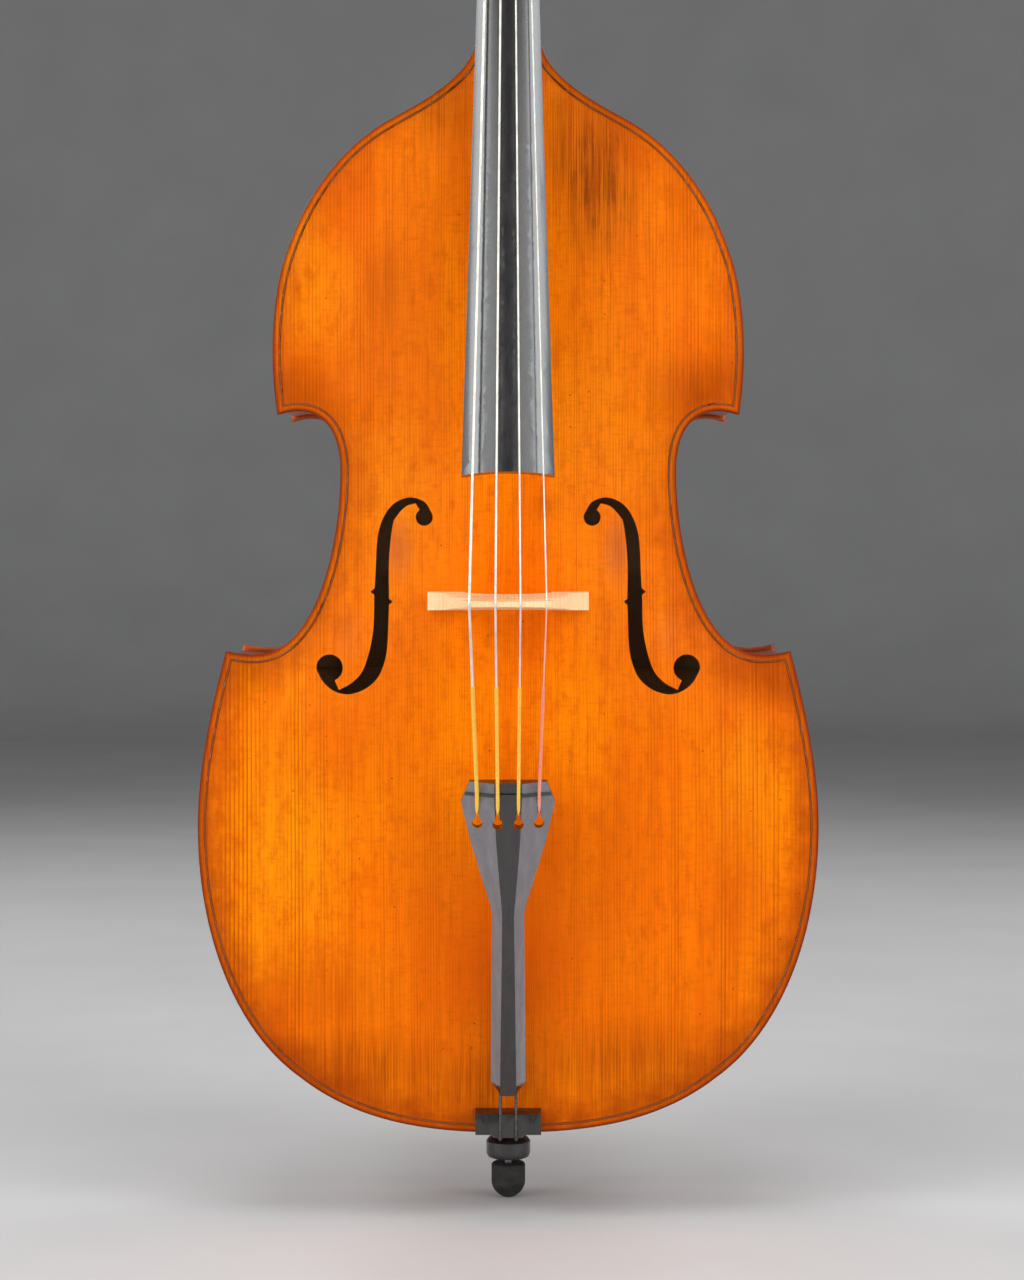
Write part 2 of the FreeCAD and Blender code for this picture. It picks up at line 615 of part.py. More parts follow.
def key_shape():
    """A butterfly key on its shaft, along +Y from the origin."""
    stem = rod(V(0, 0, 0), V(0, 12, 0), SHAFT_R + 1)
    wings = [rod(V(-2.5, 22, 8 * s), V(2.5, 22, 8 * s), 11) for s in (-1, 1)]
    web = box(-2.5, 2.5, 9, 30, -9, 9)
    return stem.multiFuse(wings + [web])


def machine(index, gear, worm, key):
    """Peg, gear, worm and key of one string; returns the holes the head and plate need."""
    name, u = STRING_NAMES[index], PEG_U[index]
    side = -1 if index < 2 else 1
    centre = V(0, PEG_V, u)
    face = GEAR_X + GEAR_WIDE + 0.2
    shaft = rod(centre + V(10, 0, 0), centre + V(face, 0, 0), SHAFT_R + 2)
    roller = rod(centre + V(-ROLLER_HALF, 0, 0), centre + V(ROLLER_HALF, 0, 0), ROLLER_R)
    journal = rod(centre + V(-21, 0, 0), centre + V(-10, 0, 0), SHAFT_R + 1)
    cap = rod(centre + V(face - 0.2, 0, 0), centre + V(face + 1.6, 0, 0), SHAFT_R + 2.6)
    peg = shaft.multiFuse([roller, journal, cap])
    wheel = gear.translated(centre + V(GEAR_X, 0, 0)).cut(peg)
    axis = centre + V(WORM_X, 0, -WORM_DROP)
    spindle = rod(axis + V(0, SPINDLE_V[0], 0), axis + V(0, SPINDLE_V[1], 0), SPINDLE_R)
    screw = worm.translated(axis).fuse(spindle)
    handle = key.translated(axis + V(0, KEY_V, 0)).cut(screw)
    bores = [rod(centre + V(-22, 0, 0), centre + V(-9, 0, 0), SHAFT_R + 1 + RUN_CLEARANCE),
             rod(centre + V(9, 0, 0), centre + V(40, 0, 0), SHAFT_R + 2 + RUN_CLEARANCE)]
    made = {"peg_" + name: peg, "gear_" + name: wheel, "worm_" + name: screw, "key_" + name: handle}
    for node, shape in made.items():
        shape = shape if side > 0 else mirrored(shape)
        shapes[node] = placed(shape, HEAD_FRAME)
    return [bore if side > 0 else mirrored(bore) for bore in bores]


def make_plate(side, indices, bores):
    """A brass plate on one cheek, with two posts for each worm."""
    outside = CHEEK_X + PLATE_THICK
    plate = box(CHEEK_X, outside, PLATE_V[0], PLATE_V[1], PLATE_U[0], PLATE_U[1])
    screws = [V(CHEEK_X, v, PLATE_U[0] + 4) for v in SCREW_V]
    for index in indices:
        axis = V(WORM_X, PEG_V, PEG_U[index] - WORM_DROP)
        for v0, v1 in POSTS_V:
            post = box(CHEEK_X + 1, WORM_X + 4.5, axis.y + v0, axis.y + v1, axis.z - 4.5, axis.z + 4.5)
            plate = plate.fuse(post)
        hole = rod(axis + V(0, SPINDLE_V[0] - 3, 0), axis + V(0, KEY_V, 0), SPINDLE_R + RUN_CLEARANCE)
        plate = plate.cut(hole)
        screws += [V(CHEEK_X, v, axis.z + 32) for v in SCREW_V]
    pins = []
    for p in screws:
        head = Part.makeSphere(SCREW_HEAD_R, V(outside - SCREW_R, p.y, p.z))
        head = head.common(box(outside, 2 * outside, -20, 80, -20, 240))
        pins.append(rod(p - V(SCREW_LONG, 0, 0), p + V(PLATE_THICK, 0, 0), SCREW_R).fuse(head))
    if side < 0:
        plate, pins = mirrored(plate), [mirrored(pin) for pin in pins]
    plate = plate.cut(Part.makeCompound(bores + pins))
    return plate, pins


def make_machines():
    gear, worm, key = gear_profile(), worm_thread(), key_shape()
    bores = [machine(i, gear, worm, key) for i in range(4)]
    all_pins = []
    for side, name, indices in ((-1, "bass", (0, 1)), (1, "treble", (3, 2))):
        plate, pins = make_plate(side, indices, [b for i in indices for b in bores[i]])
        shapes["machine_plate_" + name] = placed(plate, HEAD_FRAME)
        all_pins += pins
    shapes["machine_screws"] = placed(Part.makeCompound(all_pins), HEAD_FRAME)
    return [bore for pair in bores for bore in pair] + all_pins


# ---- bridge, tailpiece and strings ----

TAIL_FRAME = Placement(V(0, BELLY_EDGE_Y - TAILPIECE_FOOT[0], TAILPIECE_FOOT[1]),
                       Rotation(V(1, 0, 0), math.degrees(TAILPIECE_LEAN)))


def string_height(x):
    return BRIDGE_TOP - arc_drop(x, STRING_ARCH)


def make_bridge(skin, strings):
    """Feet, legs, heart and crown; the plate stands out along -Y and thins towards the strings."""
    points = [V(x, BELLY_EDGE_Y - h, 0) for x, h in BRIDGE_HALF]
    outline = points + [V(-p.x, p.y, 0) for p in reversed(points[1:-1])]
    plate = polygon_face(outline).extrude(V(0, 0, 30)).translated(V(0, 0, BRIDGE_Z - 15))
    edge = [(BELLY_EDGE_Y - h, half) for h, half in BRIDGE_THICK]
    wedge = side_prism([(y, BRIDGE_Z - half) for y, half in edge]
                       + [(y, BRIDGE_Z + half) for y, half in reversed(edge)], 100)
    heart_y = BELLY_EDGE_Y - HEART_HIGH
    heart = [rod(V(x, heart_y, BRIDGE_Z - 20), V(x, heart_y, BRIDGE_Z + 20), HEART_R)
             for x in (-HEART_X, HEART_X)]
    tail = polygon_face([V(-12.5, heart_y + 3, 0), V(12.5, heart_y + 3, 0), V(0, heart_y + 24, 0)])
    heart.append(tail.extrude(V(0, 0, 40)).translated(V(0, 0, BRIDGE_Z - 20)))
    bridge = plate.common(wedge).cut(Part.makeCompound(heart))
    body = skin.extrude(V(0, 2 * ABOVE_EDGE, 0))
    shapes["bridge"] = bridge.cut(body).cut(Part.makeCompound(strings))


def facet_y(x, along):
    """Depth of the tailpiece's faceted front below its middle facet."""
    for (s0, w0, a0), (s1, w1, a1) in zip(TAILPIECE, TAILPIECE[1:]):
        if along <= s1:
            t = (along - s0) / (s1 - s0)
            wide, middle = w0 + (w1 - w0) * t, a0 + (a1 - a0) * t
            return max(0.0, (abs(x) - middle) / (wide - middle)) * TAILPIECE_EDGE
    return 0.0


def tailpiece_wire(along, wide, middle, raise_front=0.0):
    edge, deep = TAILPIECE_EDGE - raise_front, TAILPIECE_DEEP
    return Part.makePolygon([V(-wide, edge, along), V(-middle, -raise_front, along), V(middle, -raise_front, along),
                             V(wide, edge, along), V(wide, deep, along), V(-wide, deep, along),
                             V(-wide, edge, along)])


def make_tailpiece(silks, cable):
    body = Part.makeLoft([tailpiece_wire(*station) for station in TAILPIECE], True, True)
    span = [tailpiece_wire(s, w, a, FRET_HIGH) for s, w, a in
            ((FRET_PLACE, FRET_HALF[0], 13.7), (FRET_PLACE + 3, FRET_HALF[1], 13.7))]
    fret = Part.makeLoft(span, True, True).cut(body)
    holes = []
    for x in TAILPIECE_X:
        holes.append(rod(V(x, -5, KEYHOLE_PLACE), V(x, 30, KEYHOLE_PLACE), KEYHOLE_R))
        half, high = KEYHOLE_SLOT
        holes.append(box(x - half, x + half, -5, 30, KEYHOLE_PLACE, KEYHOLE_PLACE + high))
    body = placed(body.cut(Part.makeCompound(holes)), TAIL_FRAME)
    fret = placed(fret, TAIL_FRAME)
    shapes["tailpiece"] = body.cut(Part.makeCompound(silks + [cable]))
    shapes["tailpiece_fret"] = fret.cut(Part.makeCompound(silks))


def make_strings():
    """Each string from its silk over the bridge and nut to its coil, and each silk end."""
    strings, silks, balls = [], [], []
    for i, radius in enumerate(STRING_RADIUS):
        crown = V(BRIDGE_X[i], BELLY_EDGE_Y - string_height(BRIDGE_X[i]), BRIDGE_Z)
        nut = BOARD_FRAME.multVec(V(NUT_X[i], -1.9 + arc_drop(NUT_X[i], BOARD_RADIUS[1]), BOARD_LENGTH + 3))
        peg = HEAD_FRAME.multVec(V(PEG_X[i], PEG_V - ROLLER_R - 0.15 - radius, PEG_U[i]))
        fret_y = facet_y(TAILPIECE_X[i], FRET_PLACE) - FRET_HIGH - SILK_RADIUS[i]
        fret = TAIL_FRAME.multVec(V(TAILPIECE_X[i], fret_y, FRET_PLACE + 1.5))
        slot = TAIL_FRAME.multVec(V(TAILPIECE_X[i], facet_y(TAILPIECE_X[i], 302) + 3, BALL_PLACE))
        last = TAIL_FRAME.multVec(V(TAILPIECE_X[i], TAILPIECE_DEEP + 2, BALL_PLACE))
        share = (crown.z - SILK_START_Z) / (crown.z - fret.z)
        meet = crown + (fret - crown) * share
        string = tube([meet, crown, nut, peg], radius, [9, 6])
        wide = radius * PEG_TURNS[i]
        coil_at = V(PEG_X[i], PEG_V, PEG_U[i])
        coil = rod(coil_at - V(wide, 0, 0), coil_at + V(wide, 0, 0), ROLLER_R + 0.15 + 2 * radius)
        coil = coil.cut(rod(coil_at - V(30, 0, 0), coil_at + V(30, 0, 0), ROLLER_R + 0.15))
        string = string.fuse(placed(coil, HEAD_FRAME))
        silk = tube([meet, fret, slot, last], SILK_RADIUS[i], [4, 3])
        shapes["string_" + STRING_NAMES[i]] = string
        strings.append(string)
        silks.append(silk)
        ball = V(TAILPIECE_X[i], TAILPIECE_DEEP + 2, BALL_PLACE)
        balls.append(placed(rod(ball, ball + V(0, BALL_LONG, 0), BALL_R), TAIL_FRAME))
    shapes["silk_ends"] = Part.makeCompound(silks)
    shapes["ball_ends"] = Part.makeCompound(balls)
    return strings, silks


# ---- saddle, cable and endpin ----

def make_cable():
    """One cable: out of the tailpiece, over the saddle and round the endpin collar."""
    groove = CABLE_GROOVE_R + CABLE_R
    front = BELLY_EDGE_Y - SADDLE_HIGH - CABLE_R
    inside = TAIL_FRAME.multVec(V(CABLE_X, 10.5, 16))
    half = [inside, V(CABLE_X, front, SADDLE_TOP - 3), V(CABLE_X, front, CABLE_Z),
            V(groove, -10, CABLE_Z), V(groove, groove, CABLE_Z)]
    points = half + [V(-p.x, p.y, p.z) for p in reversed(half)]
    bends = [20, 7, 30, groove - 0.1, groove - 0.1, 30, 7, 20]
    return tube(points, CABLE_R, bends)


def make_saddle(cable):
    low = BODY_BOTTOM - 0.3
    base = box(-SADDLE_HALF, SADDLE_HALF, BELLY_EDGE_Y - SADDLE_HIGH, RIB_FRONT_Y, low, SADDLE_TOP)
    for side in (-1, 1):
        scoop = rod(V(side * 41, -200, low - 6), V(side * 41, BELLY_EDGE_Y - 9, low - 6), 26)
        base = base.cut(scoop)
    slope = side_prism([(BELLY_EDGE_Y - SADDLE_HIGH - 1, SADDLE_TOP - 3),
                        (BELLY_EDGE_Y - 4, SADDLE_TOP + 0.1), (BELLY_EDGE_Y - SADDLE_HIGH - 1, SADDLE_TOP + 0.1)], 40)
    shapes["lower_saddle"] = base.cut(slope).cut(cable)
    return base


def collar_profile():
    """Radius and height of the turned collar, from its bore round its outside."""
    bore = ROD_R + RUN_CLEARANCE
    shoulder = [(23.8 * math.cos(a), 58 + 11 * math.sin(a)) for a in
                [math.radians(d) for d in range(10, 71, 15)]]
    foot = [(17.5, COLLAR_LOW), (21.6, 43.5), (23.4, 47)]
    neck = [(12.6, 74), (CABLE_GROOVE_R, 80), (CABLE_GROOVE_R, 88), (15, 90.5), (17, 91), (17, COLLAR_RIM),
            (PLUG_R, COLLAR_RIM)]
    return ([(bore, COLLAR_LOW)] + foot + shoulder + neck
            + [(PLUG_R - 1, END_BLOCK_TOP), (bore, END_BLOCK_TOP)])


def make_endpin():
    collar = revolved(collar_profile())
    screw_hole = rod(V(0, 0, SCREW_Z), V(0, 40, SCREW_Z), SHAFT_R + RUN_CLEARANCE)
    shapes["endpin_collar"] = collar.cut(screw_hole)
    shapes["endpin_rod"] = rod(V(0, 0, 15), V(0, 0, ROD_TOP), ROD_R)
    dome = Part.makeSphere(TIP_R, V(0, 0, TIP_R))
    barrel = Part.makeCylinder(TIP_R, TIP_HIGH - TIP_R - TIP_LIP, V(0, 0, TIP_R))
    lip = Part.makeCone(TIP_R, TIP_R - TIP_LIP, TIP_LIP, V(0, 0, TIP_HIGH - TIP_LIP))
    shapes["rubber_tip"] = dome.multiFuse([barrel, lip]).cut(shapes["endpin_rod"])
    thread = rod(V(0, ROD_R + 0.4, SCREW_Z), V(0, 32, SCREW_Z), SHAFT_R)
    knob = rod(V(0, 27, SCREW_Z), V(0, 32, SCREW_Z), 6)
    wing = box(-11, 11, 31, 42, SCREW_Z - 2, SCREW_Z + 2)
    shapes["endpin_screw"] = thread.multiFuse([knob, wing])
    return Part.makeCylinder(PLUG_R, END_BLOCK_TOP - COLLAR_RIM, V(0, 0, COLLAR_RIM))


def build():
    skin = belly_skin()
    under = behind_belly(skin)
    heel = make_heel()
    strings, silks = make_strings()
    cable = make_cable()
    saddle = make_saddle(cable)
    shapes["tail_cable"] = cable
    make_belly(skin, heel, saddle)
    make_back()
    foot = Part.makeCompound([make_endpin(), saddle])
    make_ribs(heel, foot, under)
    inside = body_prism(RIB_INSET, under)
    make_blocks(inside, heel, foot)
    make_linings(inside, foot, under)
    make_bar_post_and_braces(under)
    make_board_and_nut(strings)
    make_neck(heel)
    make_head(make_machines(), strings)
    make_bridge(skin, strings)
    make_tailpiece(silks, cable)


build()
os.makedirs("parts", exist_ok=True)
for node, shape in shapes.items():
    shape.exportStep("parts/%s.step" % node)
    bounds = shape.BoundBox
    print("%-22s solids %2d  valid %s  volume %10.0f  x %7.1f %7.1f  y %7.1f %7.1f  z %7.1f %7.1f" % (
        node, len(shape.Solids), shape.isValid(), shape.Volume, bounds.XMin, bounds.XMax,
        bounds.YMin, bounds.YMax, bounds.ZMin, bounds.ZMax))
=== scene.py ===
"""Double bass: carved plates, varnish, ebony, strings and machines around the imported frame.

Metres, +Z up the instrument, +X to the treble side, the belly faces -Y.
"""

import json
import math

import bmesh
import bpy
import numpy as np
from mathutils import Matrix, Vector
from mathutils.geometry import delaunay_2d_cdt, interpolate_bezier


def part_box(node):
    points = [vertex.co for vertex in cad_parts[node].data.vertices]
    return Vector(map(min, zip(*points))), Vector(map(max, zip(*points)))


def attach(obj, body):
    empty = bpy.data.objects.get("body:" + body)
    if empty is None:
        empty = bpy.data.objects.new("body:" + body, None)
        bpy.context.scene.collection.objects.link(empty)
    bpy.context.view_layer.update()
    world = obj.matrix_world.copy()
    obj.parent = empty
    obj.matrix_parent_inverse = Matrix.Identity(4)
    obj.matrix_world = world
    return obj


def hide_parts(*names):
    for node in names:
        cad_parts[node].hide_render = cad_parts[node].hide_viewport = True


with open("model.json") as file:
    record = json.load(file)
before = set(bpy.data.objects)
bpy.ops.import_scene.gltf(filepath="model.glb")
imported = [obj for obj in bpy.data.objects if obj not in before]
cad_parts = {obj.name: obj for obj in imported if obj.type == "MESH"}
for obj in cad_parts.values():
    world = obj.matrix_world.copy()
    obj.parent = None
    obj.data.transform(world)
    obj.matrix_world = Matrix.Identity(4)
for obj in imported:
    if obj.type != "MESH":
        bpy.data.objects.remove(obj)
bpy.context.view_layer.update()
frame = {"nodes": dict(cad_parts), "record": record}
nodes = frame["nodes"]
MM = 0.001

# ---- body outline: half width and height in millimetres, knot, handle, handle, knot ----
UPPER_BOUT = [(33, 1213), (39, 1190), (55, 1168), (118, 1135), (178, 1103), (211, 1047), (227, 1000),
              (239.5, 967), (243, 925), (243, 893), (243, 870), (241, 848), (238, 828)]
CENTRE_BOUT = [(238, 828), (230, 830), (224, 832), (217, 832), (192, 832), (172, 814), (173, 766),
               (174, 692), (198, 581), (262, 581), (272, 581), (282, 583), (291, 585)]
LOWER_BOUT = [(291, 585), (308, 520), (320, 460), (320, 404), (320, 288), (279, 191), (214, 145),
              (150, 95), (70, 88.5), (0, 88.5)]
BODY_TOP = 1213
BODY_BOTTOM = 88.5

# ---- arching of the belly, as the frame has it ----
ARCH_HIGH = 28
ARCH_WIDTHS = [(60, 30), (100, 128), (140, 208), (200, 262), (290, 302), (400, 312), (500, 300),
               (570, 258), (630, 196), (700, 166), (766, 163), (810, 176), (860, 206), (920, 228),
               (1000, 214), (1060, 182), (1120, 128), (1170, 62), (1240, 30)]
BELLY_EDGE_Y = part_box("rib_lower_bass")[0].y / MM - 6
PLATE_THICK = 6
BACK_FACE_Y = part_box("back")[1].y / MM
BACK_THICK = 5
BACK_BEND_Z = 905
BACK_SLOPE = 52 / 308

# ---- neck, board and head, each in its own leaning frame ----
def leaning(origin_y, origin_z, lean):
    """A frame turned about X, its Z leaning backwards."""
    return Matrix(((1, 0, 0, 0), (0, math.cos(lean), math.sin(lean), origin_y),
                   (0, -math.sin(lean), math.cos(lean), origin_z), (0, 0, 0, 1)))


BOARD_LEAN = math.radians(12.06)
BOARD_FRAME = leaning(-254.06, 766.6, BOARD_LEAN)
BOARD_LONG = 920
BOARD_HALF = (46, 20)
BOARD_RADIUS = (72, 55)
BOARD_SIDE = 9.2
NECK_END = 928
HEEL_FOOT_Z = 1252
MORTISE_Z = 1186
HEAD_FRAME = leaning(-57.17, 1673.44, math.radians(25))
CHEEK_X = 27
CAVITY = ((16.5, 6), (12, 192))
CAVITY_DEEP = 42
SCROLL_V, SCROLL_U, SCROLL_R = 32, 246, 41
SCROLL_SHRINK = 0.63
SCROLL_TURNS = 3
SCROLL_HALF = (15, 36)
SCROLL_START = -90
# ---- sections of the pegbox: along, slope, half width, front, back, corner ----
PEGBOX_STATIONS = [(0, -0.2295, 21.5, 0, 38, 16), (5, -0.19, 25.2, 0, 42.5, 9), (12, -0.13, 27, 0, 46, 5),
                   (22, -0.06, 27, 0, 48.5, 4), (40, 0, 27, 0, 50.5, 5), (80, 0, 27, 0, 52.5, 6),
                   (120, 0, 27, 0, 55, 8), (160, 0, 27, 0, 53.5, 8), (186, 0, 27, 0, 52.4, 8),
                   (196, 0, 26.6, 0.5, 52, 8), (206, 0, 24, 4, 52.5, 8), (216, 0, 21, 7.5, 53, 8),
                   (230, 0, 18, 7, 53.5, 8), (244, 0, 15.5, 7, 54, 8)]

# ---- strings, pegs, tailpiece and screws ----
STRING_R = (1.45, 1.15, 0.95, 0.75)
SILK_R = (1.9, 1.7, 1.6, 1.5)
BRIDGE_X = (-37.7, -12.2, 12.2, 37.7)
BRIDGE_Z, BRIDGE_TOP, BRIDGE_ARCH = 637, 186, 76.0
SILK_START_Z = 555
TAILPIECE_X = (-31, -10.4, 10.4, 31)
TAIL_FRAME = leaning(-136, 132, -math.radians(12.7))
TAILPIECE = [(0, 9.3, 8.4), (12.8, 17.8, 8.2), (193, 16.2, 6), (205, 18.7, 6.8), (227, 25.3, 8.6),
             (270.6, 37.9, 12), (311.6, 47.1, 13.7), (332.5, 38.8, 13.8)]
TAILPIECE_EDGE = 9
PEG_X = (-7, -5, 5, 7)
PEG_U = (48, 128, 168, 88)
PEG_V = 21
PEG_TURNS = (3, 4, 4, 5)
ROLLER_R = 7
SCREW_HEAD_R = 3.2
SLOT_HALF, SLOT_HEIGHTS = (4, 0.35), (1.0, 3.0)
SADDLE_SCOOP = ((51.8, 125), (21.2, 80))
SCOOP_R = 14

# ---- inlay along the edges, patches of the varnish, and patches of painted highlight: across, up, half width, half height, strength ----
PURFLING_INSET, PURFLING_WIDE = 6.5, 2.2
DARK_SPOTS = [(0.094, 1.075, 0.045, 0.085, 0.9), (0.058, 1.10, 0.018, 0.07, 0.6),
              (-0.127, 0.962, 0.02, 0.05, 0.28), (-0.286, 0.562, 0.05, 0.025, 0.4),
              (0.27, 0.562, 0.06, 0.03, 0.5), (0.203, 0.859, 0.06, 0.03, 0.55),
              (-0.222, 0.852, 0.04, 0.03, 0.45), (0.16, 1.03, 0.05, 0.07, 0.2),
              (-0.163, 0.154, 0.12, 0.040, 0.6), (0.136, 0.160, 0.11, 0.045, 0.55),
              (-0.03, 0.140, 0.09, 0.035, 0.5), (0.04, 0.735, 0.02, 0.015, 0.25),
              (-0.07, 1.142, 0.03, 0.045, 0.32), (-0.20, 0.24, 0.08, 0.05, 0.22)]
RED_SPOTS = [(-0.168, 1.055, 0.05, 0.05, 0.6), (-0.214, 0.854, 0.05, 0.05, 0.6),
             (0.203, 0.859, 0.06, 0.05, 0.6), (0.27, 0.565, 0.06, 0.05, 0.6),
             (-0.168, 0.488, 0.05, 0.06, 0.4), (0.055, 0.33, 0.03, 0.14, 0.5),
             (0.234, 0.339, 0.04, 0.10, 0.5), (-0.05, 1.09, 0.03, 0.09, 0.4),
             (0.0, 0.27, 0.10, 0.10, 0.85), (-0.17, 0.20, 0.12, 0.06, 0.4), (0.17, 0.20, 0.12, 0.06, 0.4)]
# painted highlight: pinkish patches on the sound holes' wings stand in for light reflected there
PAINTED_HIGHLIGHT_SPOTS = [(-0.113, 0.69, 0.015, 0.035, 0.8), (0.113, 0.69, 0.015, 0.035, 0.9),
              (-0.165, 0.60, 0.016, 0.03, 0.35), (0.165, 0.60, 0.016, 0.03, 0.35)]
GOLD_SPOTS = [(-0.225, 1.02, 0.04, 0.07, 0.6), (-0.23, 0.38, 0.07, 0.12, 0.8),
              (0.25, 0.42, 0.05, 0.09, 0.5), (-0.20, 0.95, 0.05, 0.06, 0.4),
              (0.06, 0.50, 0.05, 0.08, 0.35), (-0.11, 0.74, 0.04, 0.10, 0.4)]

# ---- edges of the plates ----
EDGE_ROUND = 2.6
CHANNEL_INSET, CHANNEL_WIDE, CHANNEL_DEEP = 10.5, 5.5, 1.3
EDGE_RINGS = [0.0, 0.5, 1.3, 2.6, 4.2, 6.2, 8.4, 11.0, 14.0, 18.0]


# ================ small helpers ================

def new_object(name, mesh):
    piece = bpy.data.objects.new(name, mesh)
    bpy.context.scene.collection.objects.link(piece)
    return piece


def mesh_piece(name, vertices, faces):
    mesh = bpy.data.meshes.new(name)
    mesh.from_pydata([tuple(v) for v in vertices], [], faces)
    mesh.update()
    return new_object(name, mesh)


def shade_by_angle(piece, degrees=32):
    """Smooth shading, with edges sharper than this left crisp."""
    mesh = piece.data
    mesh.shade_smooth()
    mesh.set_sharp_from_angle(angle=math.radians(degrees))


def recalculate(piece):
    work = bmesh.new()
    work.from_mesh(piece.data)
    bmesh.ops.remove_doubles(work, verts=work.verts, dist=1e-6)
    bmesh.ops.recalc_face_normals(work, faces=work.faces)
    work.to_mesh(piece.data)
    work.free()


def finish_mesh(piece):
    """Applies every modifier, so that the piece is a plain mesh."""
    graph = bpy.context.evaluated_depsgraph_get()
    mesh = bpy.data.meshes.new_from_object(piece.evaluated_get(graph))
    piece.modifiers.clear()
    piece.data = mesh
    return piece


def stand_for(piece, body, slot, material, *replaced):
    """Material, body and the frame's nodes that a piece stands for; the slot argument is not used."""
    piece.data.materials.clear()
    piece.data.materials.append(material)
    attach(piece, body)
    if replaced:
        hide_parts(*replaced)
    return piece


def softened(node, name, bevel, angle=28, segments=2):
    """A merged copy of a frame node with its edges broken."""
    piece = new_object(name, nodes[node].data.copy())
    work = bmesh.new()
    work.from_mesh(piece.data)
    bmesh.ops.remove_doubles(work, verts=work.verts, dist=2e-6)
    bmesh.ops.dissolve_limit(work, angle_limit=math.radians(0.4), verts=work.verts, edges=work.edges)
    work.to_mesh(piece.data)
    work.free()
    edge = piece.modifiers.new("edge", "BEVEL")
    edge.width = bevel
    edge.segments = segments
    edge.limit_method = "ANGLE"
    edge.angle_limit = math.radians(angle)
    edge.use_clamp_overlap = True
    shade_by_angle(piece, 42)
    even = piece.modifiers.new("even_shading", "WEIGHTED_NORMAL")
    even.keep_sharp = True
    return finish_mesh(piece)


class Wiring:
    """Adds and joins the nodes of one tree."""

    def __init__(self, tree):
        self.tree = tree

    def feed(self, socket, value):
        if isinstance(value, bpy.types.NodeSocket):
            self.tree.links.new(value, socket)
        else:
            socket.default_value = value

    def add(self, kind, inputs=None, **settings):
        node = self.tree.nodes.new(kind)
        for label, value in settings.items():
            setattr(node, label, value)
        for label, value in (inputs or {}).items():
            self.feed(node.inputs[label], value)
        return node

    def sum(self, operation, *values):
        node = self.add("ShaderNodeMath", operation=operation)
        for socket, value in zip(node.inputs, values):
            self.feed(socket, value)
        return node.outputs[0]

    def times(self, first, second):
        return self.sum("MULTIPLY", first, second)

    def vector(self, operation, first, second=None):
        node = self.add("ShaderNodeVectorMath", {0: first}, operation=operation)
        if operation == "SCALE":
            self.feed(node.inputs["Scale"], second)
        elif second is not None:
            self.feed(node.inputs[1], second)
        return node.outputs["Value" if operation == "LENGTH" else "Vector"]

    def parts(self, value):
        return list(self.add("ShaderNodeSeparateXYZ", {0: value}).outputs)

    def stretched(self, place, sizes):
        return self.vector("MULTIPLY", place, sizes)

    def noise(self, place, scale, detail, roughness=0.5):
        return self.add("ShaderNodeTexNoise", {"Vector": place, "Scale": scale, "Detail": detail,
                                               "Roughness": roughness}).outputs[0]

    def band(self, value, low, high, out_low=0.0, out_high=1.0):
        return self.add("ShaderNodeMapRange", {0: value, 1: low, 2: high, 3: out_low, 4: out_high}).outputs[0]

    def mix(self, share, first, second):
        node = self.add("ShaderNodeMix", data_type="RGBA")
        self.feed(node.inputs[0], share)
        self.feed(node.inputs[6], first)
        self.feed(node.inputs[7], second)
        return node.outputs[2]

    def use(self, group, inputs):
        node = self.add("ShaderNodeGroup", node_tree=bpy.data.node_groups[group])
        for label, value in inputs.items():
            self.feed(node.inputs[label], value)
        return node.outputs


# ================ outline and plates ================

def bout_points(points, per_run):
    out = []
    for i in range(0, len(points) - 1, 3):
        four = [Vector((x, z, 0)) for x, z in points[i:i + 4]]
        out += [(p.x, p.y) for p in interpolate_bezier(*four, per_run)[:-1]]
    return out


def half_outline():
    out = []
    for bout, per_run in ((UPPER_BOUT, 26), (CENTRE_BOUT, 22), (LOWER_BOUT, 38)):
        out += bout_points(bout, per_run)
    return out + [(0.0, BODY_BOTTOM)]


def whole_outline(top):
    """The plate's edge, clockwise from the treble side of the neck; top closes it there."""
    half = half_outline()
    other = [(-x, z) for x, z in reversed(half[:-1])]
    return np.array(half + other + top)


def distance_to(points, line):
    """Distance of each point from a closed line."""
    start, end = line, np.roll(line, -1, axis=0)
    along = end - start
    length = (along ** 2).sum(1)
    best = np.full(len(points), 1e9)
    for low in range(0, len(points), 1500):
        p = points[low:low + 1500, None, :]
        t = np.clip(((p - start) * along).sum(2) / length, 0, 1)
        gap = np.sqrt((((start + along * t[..., None]) - p) ** 2).sum(2))
        best[low:low + 1500] = gap.min(1)
    return best


def inside(points, line):
    """Whether each point is inside a closed line."""
    x, z = points[:, 0], points[:, 1]
    hit = np.zeros(len(points), bool)
    for (x0, z0), (x1, z1) in zip(line, np.roll(line, -1, axis=0)):
        crosses = (z0 > z) != (z1 > z)
        with np.errstate(divide="ignore", invalid="ignore"):
            at = (x1 - x0) * (z - z0) / (z1 - z0) + x0
        hit ^= crosses & (x < at)
    return hit


def inset_points(line, inset):
    """Points this far inside the line, without those that a corner folds over."""
    before, after = np.roll(line, 1, axis=0), np.roll(line, -1, axis=0)
    along = after - before
    along /= np.linalg.norm(along, axis=1)[:, None]
    moved = line + np.stack([along[:, 1], -along[:, 0]], 1) * inset
    keep = inside(moved, line) & (distance_to(moved, line) > inset * 0.985)
    return moved[keep]


